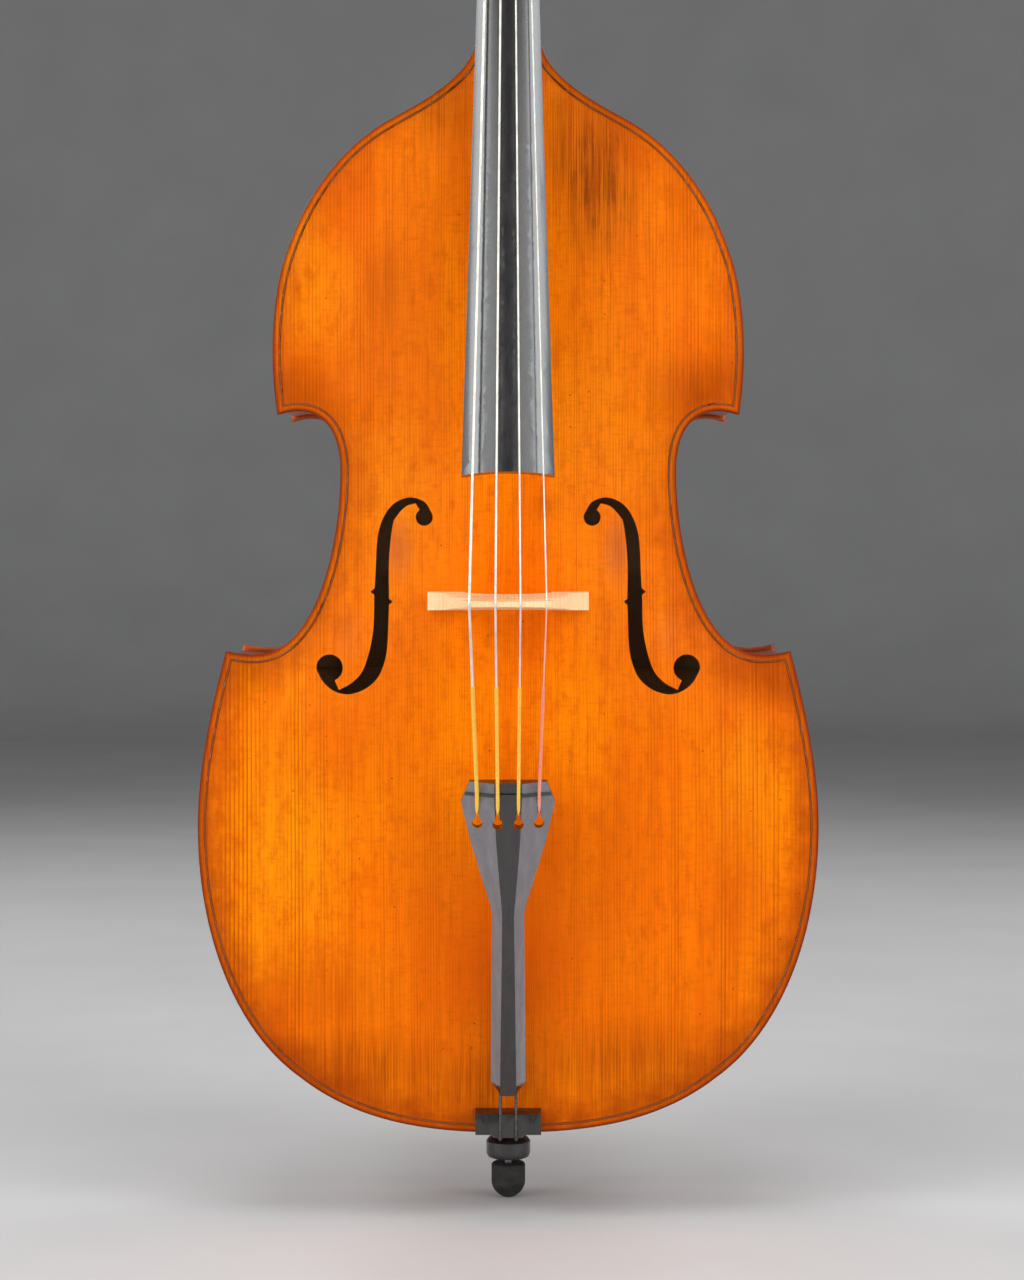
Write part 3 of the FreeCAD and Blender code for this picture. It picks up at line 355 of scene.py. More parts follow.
def plate_mesh(name, line, holes, front, rear, front_slot, rear_slot):
    """A plate between two height functions of (points, distance from the edge)."""
    rings = [inset_points(line, inset) for inset in EDGE_RINGS[1:]]
    step = 8.0
    grid = np.array([(x, z) for x in np.arange(-328, 329, step) for z in np.arange(80, 1262, step)])
    grid = grid[inside(grid, line)]
    grid = grid[distance_to(grid, line) > EDGE_RINGS[-1] + 4]
    for hole in holes:
        grid = grid[distance_to(grid, hole) > 3]
    loose = np.vstack(rings + [grid])
    loops = [line] + holes
    points = np.vstack(loops + [loose])
    edges, first = [], 0
    for loop in loops:
        edges += [(first + i, first + (i + 1) % len(loop)) for i in range(len(loop))]
        first += len(loop)
    flat = delaunay_2d_cdt([Vector(p) for p in points], edges, [], 0, 1e-4)
    spots = np.array([tuple(v) for v in flat[0]])
    faces = np.array(flat[2])
    centres = spots[faces].mean(1)
    keep = inside(centres, line)
    for hole in holes:
        keep &= ~inside(centres, hole)
    faces = faces[keep]
    edge_gap = distance_to(spots, line)
    top_y, low_y = front(spots, edge_gap), rear(spots, edge_gap)
    on_edge = edge_gap < 0.02
    low_index = np.where(on_edge, np.arange(len(spots)), np.arange(len(spots)) + len(spots))
    vertices = np.vstack([np.stack([spots[:, 0], top_y, spots[:, 1]], 1),
                          np.stack([spots[:, 0], low_y, spots[:, 1]], 1)]) * MM
    all_faces = [tuple(int(i) for i in f) for f in faces]
    all_faces += [tuple(int(low_index[i]) for i in reversed(f)) for f in faces]
    count = {}
    for f in faces:
        for a, b in ((f[0], f[1]), (f[1], f[2]), (f[2], f[0])):
            key = (min(a, b), max(a, b))
            count[key] = (a, b) if key not in count else None
    for pair in count.values():
        if pair is not None and not (on_edge[pair[0]] and on_edge[pair[1]]):
            a, b = (int(i) for i in pair)
            all_faces.append((b, a, int(low_index[a]), int(low_index[b])))
    piece = mesh_piece(name, vertices, all_faces)
    overhang = edge_gap[faces].mean(1) < 8.2
    slots = [0 if out else front_slot for out in overhang] + [0 if out else rear_slot for out in overhang]
    slots += [1] * (len(all_faces) - 2 * len(faces))
    side = piece.data.attributes.new("finish", "INT", "FACE")
    side.data.foreach_set("value", slots)
    gap = piece.data.attributes.new("edge_gap", "FLOAT", "POINT")
    gap.data.foreach_set("value", np.concatenate([edge_gap, edge_gap]) * MM)
    work = bmesh.new()
    work.from_mesh(piece.data)
    bmesh.ops.delete(work, geom=[v for v in work.verts if not v.link_faces], context="VERTS")
    bmesh.ops.recalc_face_normals(work, faces=work.faces)
    work.to_mesh(piece.data)
    work.free()
    shade_by_angle(piece, 40)
    return piece


def arch_half_width(z):
    heights = np.array([h for h, w in ARCH_WIDTHS], float)
    widths = np.array([w for h, w in ARCH_WIDTHS], float)
    i = np.clip(np.searchsorted(heights, z) - 1, 0, len(heights) - 2)
    t = np.clip((z - heights[i]) / (heights[i + 1] - heights[i]), 0, 1)
    return widths[i] + (widths[i + 1] - widths[i]) * t * t * (3 - 2 * t)


def arch(spots):
    x, z = spots[:, 0], spots[:, 1]
    t = np.clip(np.abs(2 * (z - BODY_BOTTOM - 8) / (BODY_TOP - BODY_BOTTOM - 16) - 1), 0, 1)
    s = np.clip(np.abs(x) / arch_half_width(z), 0, 1)
    return ARCH_HIGH * (1 - t ** 2.5) * (1 - s ** 2.2) ** 1.9


def rounding(gap):
    """How far the plate's face falls back towards its edge."""
    inward = np.clip(EDGE_ROUND - gap, 0, EDGE_ROUND)
    return EDGE_ROUND - np.sqrt(EDGE_ROUND ** 2 - inward ** 2)


def channel(gap):
    return CHANNEL_DEEP * np.exp(-((gap - CHANNEL_INSET) / CHANNEL_WIDE) ** 2)


def belly_front(spots, gap):
    return BELLY_EDGE_Y - arch(spots) + rounding(gap) * 1.15 + channel(gap)


def belly_rear(spots, gap):
    return BELLY_EDGE_Y + PLATE_THICK - arch(spots) - rounding(gap) * (PLATE_THICK / EDGE_ROUND - 1.15)


def back_plane(spots):
    return BACK_FACE_Y - np.clip(spots[:, 1] - BACK_BEND_Z, 0, None) * BACK_SLOPE


def back_front(spots, gap):
    return back_plane(spots) - BACK_THICK + rounding(gap) * (BACK_THICK / EDGE_ROUND - 1.0)


def back_rear(spots, gap):
    return back_plane(spots) - rounding(gap)


def through(points, steps=5):
    """A smooth line through points, by Catmull-Rom."""
    p = [Vector(q) for q in points]
    p = [p[0] * 2 - p[1]] + p + [p[-1] * 2 - p[-2]]
    out = []
    for a, b, c, d in zip(p, p[1:], p[2:], p[3:]):
        for i in range(steps):
            t = i / steps
            out.append(0.5 * (2 * b + (c - a) * t + (2 * a - 5 * b + 4 * c - d) * t ** 2
                              + (3 * b - a - 3 * c + d) * t ** 3))
    return [(q.x, q.y) for q in out] + [tuple(points[-1])]


def eye(centre, radius, start, end, count=22):
    """Part of a round eye, between two angles in degrees."""
    angles = [math.radians(start + (end - start) * i / count) for i in range(count + 1)]
    return [(centre[0] + radius * math.cos(a), centre[1] + radius * math.sin(a)) for a in angles]


def sound_hole():
    """The treble side's hole as one closed line, with its two nicks."""
    outer_top = [(78.8, 727.8), (86, 738.5), (101, 743), (117, 737), (128, 723), (134.5, 701.5), (136.5, 663),
                 (137.2, 650)]
    outer_low = [(137.6, 643), (139, 603), (147.5, 569), (159, 554), (173.8, 545.4)]
    inner_low = [(196.9, 565.5), (190, 553), (179.7, 544.6), (167.8, 541), (157.7, 542), (145.8, 547),
                 (135.6, 555.7), (129, 567.5), (124, 588), (122.2, 633)]
    inner_top = [(122.2, 639), (122.4, 679), (118.6, 715), (113.5, 725), (105, 733.7), (95, 737)]
    line = through(outer_top) + [(141.5, 646)] + through(outer_low)
    line += eye((183.5, 568), 13.8, 247, -8) + through(inner_low) + [(118.4, 636)] + through(inner_top)
    line += eye((86, 722.7), 8.8, 57.8, -215, 18)[:-1]
    return np.array(line, float)


def purfling_strip(node, name, surface, thick):
    """The frame's inlay, laid on the carved surface."""
    piece = new_object(name, nodes[node].data.copy())
    recalculate(piece)
    work = bmesh.new()
    work.from_mesh(piece.data)
    long_edges = [e for e in work.edges if e.calc_length() > 12 * MM]
    bmesh.ops.subdivide_edges(work, edges=long_edges, cuts=3)
    work.to_mesh(piece.data)
    work.free()
    count = len(piece.data.vertices)
    spots = np.empty(count * 3)
    piece.data.vertices.foreach_get("co", spots)
    spots = spots.reshape(-1, 3)
    flat = spots[:, [0, 2]] / MM
    gap = distance_to(flat, whole_outline([]))
    shown = surface(flat, gap)
    outward = np.sign(thick)
    own = spots[:, 1] / MM - shown
    is_face = (own * outward) > (own * outward).mean()
    spots[:, 1] = (shown + np.where(is_face, outward * 0.12, -abs(thick) * outward)) * MM
    piece.data.vertices.foreach_set("co", spots.ravel())
    piece.data.update()
    mark = piece.data.attributes.new("edge_gap", "FLOAT", "POINT")
    mark.data.foreach_set("value", gap * MM)
    recalculate(piece)
    shade_by_angle(piece, 40)
    return piece


def make_plates():
    line = whole_outline([])
    hole = sound_hole()
    other = hole * np.array([-1, 1])
    belly = plate_mesh("belly_plate", line, [hole, other[::-1]], belly_front, belly_rear, 0, 2)
    button = [(-26, 1214), (-24, 1219)]
    button += [(24 * math.cos(a), 1232 + 24 * math.sin(a)) for a in
               [math.radians(180 - 10 * i) for i in range(19)]]
    button += [(24, 1219), (26, 1214)]
    back = plate_mesh("back_plate", whole_outline(button), [], back_front, back_rear, 2, 0)
    front_strip = purfling_strip("front_purfling", "front_inlay", belly_front, -1.2)
    back_strip = purfling_strip("back_purfling", "back_inlay", back_rear, 1.2)
    return belly, back, front_strip, back_strip


# ================ turned and lofted pieces ================

def loft(name, rings):
    """A closed skin through rings of the same count, with both ends closed."""
    count = len(rings[0])
    vertices = [tuple(Vector(p) * MM) for ring in rings for p in ring]
    faces = []
    for i in range(len(rings) - 1):
        for j in range(count):
            k = (j + 1) % count
            faces.append((i * count + j, i * count + k, (i + 1) * count + k, (i + 1) * count + j))
    faces.append(tuple(reversed(range(count))))
    faces.append(tuple(range((len(rings) - 1) * count, len(rings) * count)))
    piece = mesh_piece(name, vertices, faces)
    recalculate(piece)
    return piece


def cut_out(piece, tool):
    """Takes one closed mesh out of another."""
    cut = piece.modifiers.new("cut", "BOOLEAN")
    cut.operation = "DIFFERENCE"
    cut.solver = "EXACT"
    cut.object = tool
    finish_mesh(piece)
    bpy.data.objects.remove(tool)
    return piece


def broken_edges(piece, width, angle=35, segments=2):
    edge = piece.modifiers.new("edge", "BEVEL")
    edge.width = width
    edge.segments = segments
    edge.limit_method = "ANGLE"
    edge.angle_limit = math.radians(angle)
    finish_mesh(piece)
    shade_by_angle(piece, 34)
    return piece


def board_value(pair, z):
    return pair[0] + (pair[1] - pair[0]) * z / BOARD_LONG


def crown_drop(half, radius):
    return radius - math.sqrt(radius ** 2 - half ** 2)


def glue_depth(z):
    ends = [crown_drop(half, radius) + BOARD_SIDE for half, radius in zip(BOARD_HALF, BOARD_RADIUS)]
    return board_value(ends, z)


def back_inner(z):
    return BACK_FACE_Y - BACK_THICK - max(0.0, z - BACK_BEND_Z) * BACK_SLOPE


def neck_rear_line():
    """Side view of the neck's back, (y, z): along the shaft, down the heel and behind the button."""
    line = []
    for z, deep in ((NECK_END, 24.0), (780, 27.0), (640, 31.0)):
        p = BOARD_FRAME @ Vector((0, glue_depth(z) + deep, z))
        line.append((p.y, p.z))
    start_y, start_z = line[-1]
    foot_y, foot_z = back_inner(HEEL_FOOT_Z), HEEL_FOOT_Z
    poles = [(start_y, start_z), (start_y - 14, start_z - 62), (foot_y - 40, foot_z + 18), (foot_y, foot_z)]
    line += [(p.x, p.y) for p in interpolate_bezier(*[Vector((y, z, 0)) for y, z in poles], 40)[1:]]
    return line + [(back_inner(MORTISE_Z), MORTISE_Z - 20)]


def reach(origin, direction, line):
    """Distance from a point along a direction to a line in the side view."""
    best = None
    for (y0, z0), (y1, z1) in zip(line, line[1:]):
        ey, ez = y1 - y0, z1 - z0
        cross = direction[0] * ez - direction[1] * ey
        if abs(cross) < 1e-9:
            continue
        far = ((y0 - origin[0]) * ez - (z0 - origin[1]) * ey) / cross
        along = ((y0 - origin[0]) * direction[1] - (z0 - origin[1]) * direction[0]) / cross
        if far > 5 and -1e-6 <= along <= 1 + 1e-6 and (best is None or far < best):
            best = far
    return best


def make_neck():
    """The shaft under the board and the heel, as sections that turn level towards the button."""
    rear = neck_rear_line()
    stations = list(np.linspace(NECK_END, 700, 12)) + list(np.linspace(680, 430, 26))
    rings = []
    for z in stations:
        front = BOARD_FRAME @ Vector((0, glue_depth(z), z))
        level = min(1.0, max(0.0, (700 - z) / 150))
        lean = BOARD_LEAN * (1 - level)
        across = (math.cos(lean), -math.sin(lean))
        deep = reach((front.y, front.z), across, rear) or 31.0
        half = min(board_value(BOARD_HALF, z), 33.0)
        heel = min(1.0, max(0.0, (deep - 34) / 70))
        end_half = half + (22.5 - half) * heel
        nose = deep * 0.78 * (1 - heel) + 20 * heel
        ring = [(-half, 0.0), (-half, 2.0)]
        side = [(-half + (half - end_half) * t, 2 + (deep - nose - 2) * t) for t in (0.25, 0.5, 0.75)]
        corner = [(-end_half * math.cos(a), deep - nose + nose * math.sin(a)) for a in
                  [math.radians(9 * i) for i in range(11)]]
        ring += side + corner
        ring += [(-x, d) for x, d in reversed(ring[:-1])]
        rings.append([(x, front.y + across[0] * d, front.z + across[1] * d) for x, d in ring])
    piece = loft("neck_carved", rings)
    return broken_edges(piece, 0.8 * MM, 50)


def make_pegbox():
    """Cheeks that widen behind the nut, the cavity, and the throat under the scroll."""
    rings = []
    for u, slope, half, front, back, corner in PEGBOX_STATIONS:
        ring = [(-half, front), (-half, back - corner)]
        ring += [(-half + corner - corner * math.cos(a), back - corner + corner * math.sin(a)) for a in
                 [math.radians(15 * i) for i in range(1, 7)]]
        ring += [(-x, v) for x, v in reversed(ring)]
        rings.append([tuple(HEAD_FRAME @ Vector((x, v, u - slope * v))) for x, v in ring])
    piece = loft("pegbox_carved", rings)
    low, high = CAVITY[0], CAVITY[1]
    cutter = [[(-low[0], v, low[1]), (low[0], v, low[1]), (high[0], v, high[1]), (-high[0], v, high[1])]
              for v in (-8.0, CAVITY_DEEP)]
    tool = loft("cavity", [[tuple(HEAD_FRAME @ Vector(p)) for p in ring] for ring in cutter])
    cut_out(piece, tool)
    return broken_edges(piece, 0.9 * MM, 38)


def scroll_radius(turn):
    return SCROLL_R * SCROLL_SHRINK ** max(0.0, turn - 0.5)


def scroll_half(turn):
    return SCROLL_HALF[0] + (SCROLL_HALF[1] - SCROLL_HALF[0]) * min(1.0, turn / SCROLL_TURNS) ** 1.15


def make_scroll():
    """A fluted volute that winds in and out sideways to its eye, with two flutes round its rim."""
    last = SCROLL_TURNS - 1
    steps = 150
    turns = [last * i / steps for i in range(steps + 1)]
    one_round = next(i for i, t in enumerate(turns) if t >= 1.0)
    turns[one_round] = 1.0
    shape = [(0.0, 0.0, 0.0), (0.05, 0.0, 0.5), (0.2, 0.0, -1.2), (0.45, 0.0, -2.4), (0.7, 0.0, -2.2),
             (0.86, 0.08, -1.2), (0.95, 0.55, -0.2)]
    vertices, index = [], {}

    def point(key, turn, radius, x):
        angle = math.radians(SCROLL_START) + turn * 2 * math.pi
        place = (x, SCROLL_V + radius * math.cos(angle), SCROLL_U + radius * math.sin(angle))
        index[key] = len(vertices)
        vertices.append(tuple((HEAD_FRAME @ Vector(place)) * MM))

    for side in (-1, 1):
        for i, turn in enumerate(turns):
            outer, inner = scroll_radius(turn), scroll_radius(turn + 1)
            here, after = scroll_half(turn), scroll_half(turn + 1)
            fade = min(1.0, turn * 3)
            for j, (t, rise, dip) in enumerate(shape):
                half = here + (after - here) * rise + dip * (fade if j > 1 else 1)
                point((side, i, j), turn, outer + (inner - outer) * t, side * half)
            point((side, i, len(shape)), turn, inner, side * after)
        point((side, "eye"), 0, 0.0, side * (scroll_half(SCROLL_TURNS) + 0.6))
    rim = [(-0.8, 0.5), (-0.5, 1.6), (-0.2, 0.7), (0.0, 0.0), (0.2, 0.7), (0.5, 1.6), (0.8, 0.5)]
    for i in range(one_round + 1):
        for j, (share, deep) in enumerate(rim):
            half, fade = scroll_half(turns[i]), min(1.0, turns[i] * 6, (1.0 - turns[i]) * 6)
            point(("rim", i, j), turns[i], scroll_radius(turns[i]) - deep * fade, share * half)
    faces, columns = [], len(shape) + 1
    for side in (-1, 1):
        for i in range(steps):
            for j in range(columns - 1):
                faces.append([index[side, i, j], index[side, i + 1, j], index[side, i + 1, j + 1],
                              index[side, i, j + 1]])
        inner_round = [i for i in range(steps + 1) if turns[i] >= last - 1 - 1e-9]
        for i in inner_round[:-1]:
            faces.append([index[side, i, columns - 1], index[side, i + 1, columns - 1], index[side, "eye"]])
        faces.append([index[side, "eye"], index[side, inner_round[0], columns - 1]]
                     + [index[side, steps, j] for j in range(columns)])
    for i in range(one_round):
        row = [[index[-1, k, 0]] + [index["rim", k, j] for j in range(len(rim))] + [index[1, k, 0]]
               for k in (i, i + 1)]
        for j in range(len(row[0]) - 1):
            faces.append([row[0][j], row[0][j + 1], row[1][j + 1], row[1][j]])
    start = [index[-1, 0, j] for j in range(columns)]
    start += [index["rim", one_round, j] for j in range(len(rim))]
    start += [index[1, 0, j] for j in reversed(range(columns))]
    start += [index["rim", 0, j] for j in reversed(range(len(rim)))]
    faces.append(start)
    piece = mesh_piece("scroll_volute", vertices, faces)
    work = bmesh.new()
    work.from_mesh(piece.data)
    bmesh.ops.remove_doubles(work, verts=work.verts, dist=2e-5)
    bmesh.ops.triangulate(work, faces=[f for f in work.faces if len(f.verts) > 4])
    bmesh.ops.recalc_face_normals(work, faces=work.faces)
    work.to_mesh(piece.data)
    work.free()
    shade_by_angle(piece, 38)
    return piece


# ================ what repeats: Geometry Nodes ================

def geometry_tree(name, inputs):
    tree = bpy.data.node_groups.new(name, "GeometryNodeTree")
    tree.interface.new_socket(name="Geometry", in_out="INPUT", socket_type="NodeSocketGeometry")
    for label, kind, value in inputs:
        socket = tree.interface.new_socket(name=label, in_out="INPUT", socket_type=kind)
        if value is not None:
            socket.default_value = value
    tree.interface.new_socket(name="Geometry", in_out="OUTPUT", socket_type="NodeSocketGeometry")
    given = tree.nodes.new("NodeGroupInput").outputs
    result = tree.nodes.new("NodeGroupOutput").inputs
    return tree, Wiring(tree), given, result


def finish_tree(w, geometry, given, result):
    """Realized, with its material set."""
    real = w.add("GeometryNodeRealizeInstances", {"Geometry": geometry}).outputs["Geometry"]
    painted = w.add("GeometryNodeSetMaterial", {"Geometry": real, "Material": given["Material"]})
    w.feed(result["Geometry"], painted.outputs["Geometry"])


def winding_tree():
    """Round turns of thread, side by side along a path."""
    tree, w, given, result = geometry_tree("winding", [
        ("Radius", "NodeSocketFloat", 0.0015), ("Thread", "NodeSocketFloat", 0.0003),
        ("Pitch", "NodeSocketFloat", 0.0006), ("Sides", "NodeSocketInt", 14),
        ("Material", "NodeSocketMaterial", None)])
    path = w.add("GeometryNodeMeshToCurve", {"Mesh": given["Geometry"]}).outputs["Curve"]
    spots = w.add("GeometryNodeCurveToPoints", {"Curve": path, "Length": given["Pitch"]}, mode="LENGTH")
    turn = w.add("GeometryNodeCurvePrimitiveCircle",
                 {"Radius": given["Radius"], "Resolution": given["Sides"]})
    thread = w.add("GeometryNodeCurvePrimitiveCircle", {"Radius": given["Thread"], "Resolution": 5})
    ring = w.add("GeometryNodeCurveToMesh", {"Curve": turn.outputs["Curve"],
                                             "Profile Curve": thread.outputs["Curve"]})
    laid = w.add("GeometryNodeInstanceOnPoints", {"Points": spots.outputs["Points"],
                                                  "Instance": ring.outputs["Mesh"],
                                                  "Rotation": spots.outputs["Rotation"]})
    finish_tree(w, laid.outputs["Instances"], given, result)
    return tree


def screw_tree():
    """One screw head on each point, turned along the point's facing."""
    tree, w, given, result = geometry_tree("screw_heads", [
        ("Head", "NodeSocketObject", None), ("Turn", "NodeSocketFloat", 1.1), ("Seed", "NodeSocketInt", 7),
        ("Material", "NodeSocketMaterial", None)])
    head = w.add("GeometryNodeObjectInfo", {"Object": given["Head"]}).outputs["Geometry"]
    facing = w.add("GeometryNodeInputNamedAttribute", {"Name": "facing"}, data_type="FLOAT_VECTOR")
    aligned = w.add("FunctionNodeAlignRotationToVector", {"Vector": facing.outputs["Attribute"]}, axis="Z")
    spin = w.add("FunctionNodeRandomValue", {"Seed": given["Seed"]}, data_type="FLOAT")
    w.feed(spin.inputs[2], 0.0)
    w.feed(spin.inputs[3], given["Turn"])
    about = w.add("FunctionNodeAxisAngleToRotation", {"Axis": (0, 0, 1), "Angle": spin.outputs[1]})
    turned = w.add("FunctionNodeRotateRotation", {"Rotation": aligned.outputs["Rotation"],
                                                  "Rotate By": about.outputs["Rotation"]},
                   rotation_space="LOCAL")
    spots = w.add("GeometryNodeMeshToPoints", {"Mesh": given["Geometry"]})
    laid = w.add("GeometryNodeInstanceOnPoints", {"Points": spots.outputs["Points"], "Instance": head,
                                                  "Rotation": turned.outputs["Rotation"]})
    finish_tree(w, laid.outputs["Instances"], given, result)
    return tree


def grown(piece, tree, values):
    """Runs a tree on a piece and keeps the plain mesh."""
    modifier = piece.modifiers.new(tree.name, "NODES")
    modifier.node_group = tree
    for item in tree.interface.items_tree:
        if item.in_out == "INPUT" and item.name in values:
            modifier[item.identifier] = values[item.name]
    finish_mesh(piece)
    for polygon in piece.data.polygons:
        polygon.use_smooth = True
    return piece


def path_piece(name, paths):
    """Bare edges through each list of points, in millimetres."""
    vertices, edges = [], []
    for path in paths:
        first = len(vertices)
        vertices += [tuple(Vector(p) * MM) for p in path]
        edges += [(first + i, first + i + 1) for i in range(len(path) - 1)]
    mesh = bpy.data.meshes.new(name)
    mesh.from_pydata(vertices, edges, [])
    return new_object(name, mesh)


def facet_drop(x, along):
    for (s0, w0, a0), (s1, w1, a1) in zip(TAILPIECE, TAILPIECE[1:]):
        if along <= s1:
            t = (along - s0) / (s1 - s0)
            wide, middle = w0 + (w1 - w0) * t, a0 + (a1 - a0) * t
            return max(0.0, (abs(x) - middle) / (wide - middle)) * TAILPIECE_EDGE
    return 0.0


def make_windings(silk, steel):
    """Silk on the strings' lower ends and the turns of each string on its peg."""
    tree = winding_tree()
    silks, coils = [], []
    for i, name in enumerate("eadg"):
        string_r, silk_r = STRING_R[i], SILK_R[i]
        crown_y = BELLY_EDGE_Y - BRIDGE_TOP + crown_drop(BRIDGE_X[i], BRIDGE_ARCH)
        crown = Vector((BRIDGE_X[i], crown_y, BRIDGE_Z))
        x = TAILPIECE_X[i]
        fret = TAIL_FRAME @ Vector((x, facet_drop(x, 319) - 2.4 - silk_r, 320.5))
        slot = TAIL_FRAME @ Vector((x, facet_drop(x, 302) + 3, 300))
        start = crown + (fret - crown) * ((crown.z - SILK_START_Z) / (crown.z - fret.z))
        line = path_piece("silk_winding_" + name, [[start, fret], [fret, slot]])
        silks.append(grown(line, tree, {"Radius": (silk_r - 0.12) * MM, "Thread": 0.30 * MM,
                                        "Pitch": 0.62 * MM, "Sides": 14, "Material": silk}))
        wide = string_r * PEG_TURNS[i]
        ends = [HEAD_FRAME @ Vector((PEG_X[i] + s * (wide - string_r), PEG_V, PEG_U[i])) for s in (-1, 1)]
        line = path_piece("peg_turns_" + name, [ends])
        coils.append(grown(line, tree, {"Radius": (ROLLER_R + 0.15 + string_r) * MM,
                                        "Thread": string_r * 1.03 * MM, "Pitch": string_r * 1.99 * MM,
                                        "Sides": 30, "Material": steel}))
    return silks, coils


def scoop_saddle(piece):
    """Hollows the saddle's two ends, from its top corners inwards."""
    for side in (-1, 1):
        rings = []
        for x, z in SADDLE_SCOOP:
            rings.append([(side * x + SCOOP_R * math.cos(a), BELLY_EDGE_Y - 28 + SCOOP_R * math.sin(a), z)
                          for a in [math.radians(10 * i) for i in range(36)]])
        cut_out(piece, loft("scoop", rings))
    shade_by_angle(piece, 34)


def islands(node):
    """The points of each separate solid of a frame node."""
    work = bmesh.new()
    work.from_mesh(nodes[node].data)
    bmesh.ops.remove_doubles(work, verts=work.verts, dist=2e-6)
    left, found = set(work.verts), []
    while left:
        group, todo = [], [left.pop()]
        while todo:
            vertex = todo.pop()
            group.append(tuple(vertex.co))
            for edge in vertex.link_edges:
                other = edge.other_vert(vertex)
                if other in left:
                    left.remove(other)
                    todo.append(other)
        found.append(np.array(group))
    work.free()
    return found


def make_screws(brass):
    """Slotted round heads over the two plates."""
    profile = [(0.0, 0.0), (SCREW_HEAD_R, 0.0), (SCREW_HEAD_R, 0.5)]
    profile += [(SCREW_HEAD_R * math.cos(a), 0.5 + 1.2 * math.sin(a)) for a in
                [math.radians(15 * i) for i in range(1, 6)]]
    rings = [[(r * math.cos(a), r * math.sin(a), h) for a in [math.radians(20 * i) for i in range(18)]]
             for r, h in profile[1:]]
    head = loft("screw_head", rings)
    long, wide = SLOT_HALF
    slot = loft("screw_slot", [[(-long, -wide, h), (long, -wide, h), (long, wide, h), (-long, wide, h)]
                               for h in SLOT_HEIGHTS])
    cut_out(head, slot)
    shade_by_angle(head, 30)
    places, facings = [], []
    for island in islands("machine_screws"):
        side = 1.0 if island[:, 0].mean() > 0 else -1.0
        centre = (island.min(0) + island.max(0)) / 2
        places.append(Vector((side * (CHEEK_X + 2.0), centre[1] / MM, centre[2] / MM)))
        facings.append((side, 0.0, 0.0))
    mesh = bpy.data.meshes.new("plate_screws")
    mesh.from_pydata([tuple(p * MM) for p in places], [], [])
    facing = mesh.attributes.new("facing", "FLOAT_VECTOR", "POINT")
    facing.data.foreach_set("vector", [c for f in facings for c in f])
    piece = new_object("plate_screws", mesh)
    grown(piece, screw_tree(), {"Head": head, "Turn": 3.0, "Seed": 7, "Material": brass})
    shade_by_angle(piece, 30)
    bpy.data.objects.remove(head)
    return piece


# ================ materials ================

def colour(red, green, blue):
    """Linear colour from display values."""
    def linear(value):
        value /= 255
        return value / 12.92 if value <= 0.04045 else ((value + 0.055) / 1.055) ** 2.4
    return (linear(red), linear(green), linear(blue), 1.0)


def shared(name, inputs, outputs):
    """An empty shader group with named inputs and outputs."""
    tree = bpy.data.node_groups.new(name, "ShaderNodeTree")
    for label, kind, value in inputs:
        socket = tree.interface.new_socket(name=label, in_out="INPUT", socket_type=kind)
        socket.default_value = value
    for label in outputs:
        tree.interface.new_socket(name=label, in_out="OUTPUT", socket_type="NodeSocketFloat")
    return Wiring(tree), tree.nodes.new("NodeGroupInput").outputs, tree.nodes.new("NodeGroupOutput").inputs


PLACE_SOCKET = ("Vector", "NodeSocketVector", (0, 0, 0))


def grain_group():
    """Growth rings that run up the piece, wider towards the flanks, and fine fibre."""
    w, given, result = shared("grain_lines", [
        PLACE_SOCKET, ("Spacing", "NodeSocketFloat", 0.0027),
        ("Wander", "NodeSocketFloat", 0.01)], ["Lines", "Fibre"])
    slow = w.stretched(given["Vector"], (2.2, 0, 0.9))
    drift = w.times(w.sum("SUBTRACT", w.noise(slow, 1.0, 2.0), 0.5), given["Wander"])
    x, _, z = w.parts(given["Vector"])
    across = w.sum("ADD", x, drift)
    wide = w.sum("ADD", w.times(w.sum("ABSOLUTE", across), 1.4), 1.0)
    ring = w.sum("DIVIDE", w.sum("DIVIDE", across, wide), given["Spacing"])
    part = w.sum("FRACT", ring)
    late = w.times(w.band(part, 0.4, 0.9), w.band(part, 1.0, 0.93))
    tally = w.add("ShaderNodeCombineXYZ", {"X": w.times(ring, 0.31),
                                           "Z": w.times(z, 1.6)}).outputs[0]
    strength = w.band(w.noise(tally, 1.0, 2.0), 0.34, 0.66)
    w.feed(result["Lines"], w.times(late, strength))
    w.feed(result["Fibre"], w.noise(w.stretched(given["Vector"], (700, 40, 14)), 1.0, 3.0))


def cloud_group():
    """Slow colour change, tall streaks, mottle and faint cross shading of hand-laid varnish."""
    w, given, result = shared("varnish_cloud", [
        PLACE_SOCKET, ("Size", "NodeSocketFloat", 1.0)],
        ["Cloud", "Streak", "Mottle", "Cross"])
    sized = w.vector("SCALE", given["Vector"], given["Size"])
    w.feed(result["Cloud"], w.noise(w.stretched(sized, (7, 7, 4)), 1.0, 3.0))
    w.feed(result["Streak"], w.noise(w.stretched(sized, (26, 26, 1.7)), 1.0, 3.0))
    w.feed(result["Mottle"], w.noise(w.stretched(sized, (95, 95, 42)), 1.0, 7.0, 0.72))
    w.feed(result["Cross"], w.noise(w.stretched(sized, (70, 70, 330)), 1.0, 4.0, 0.6))


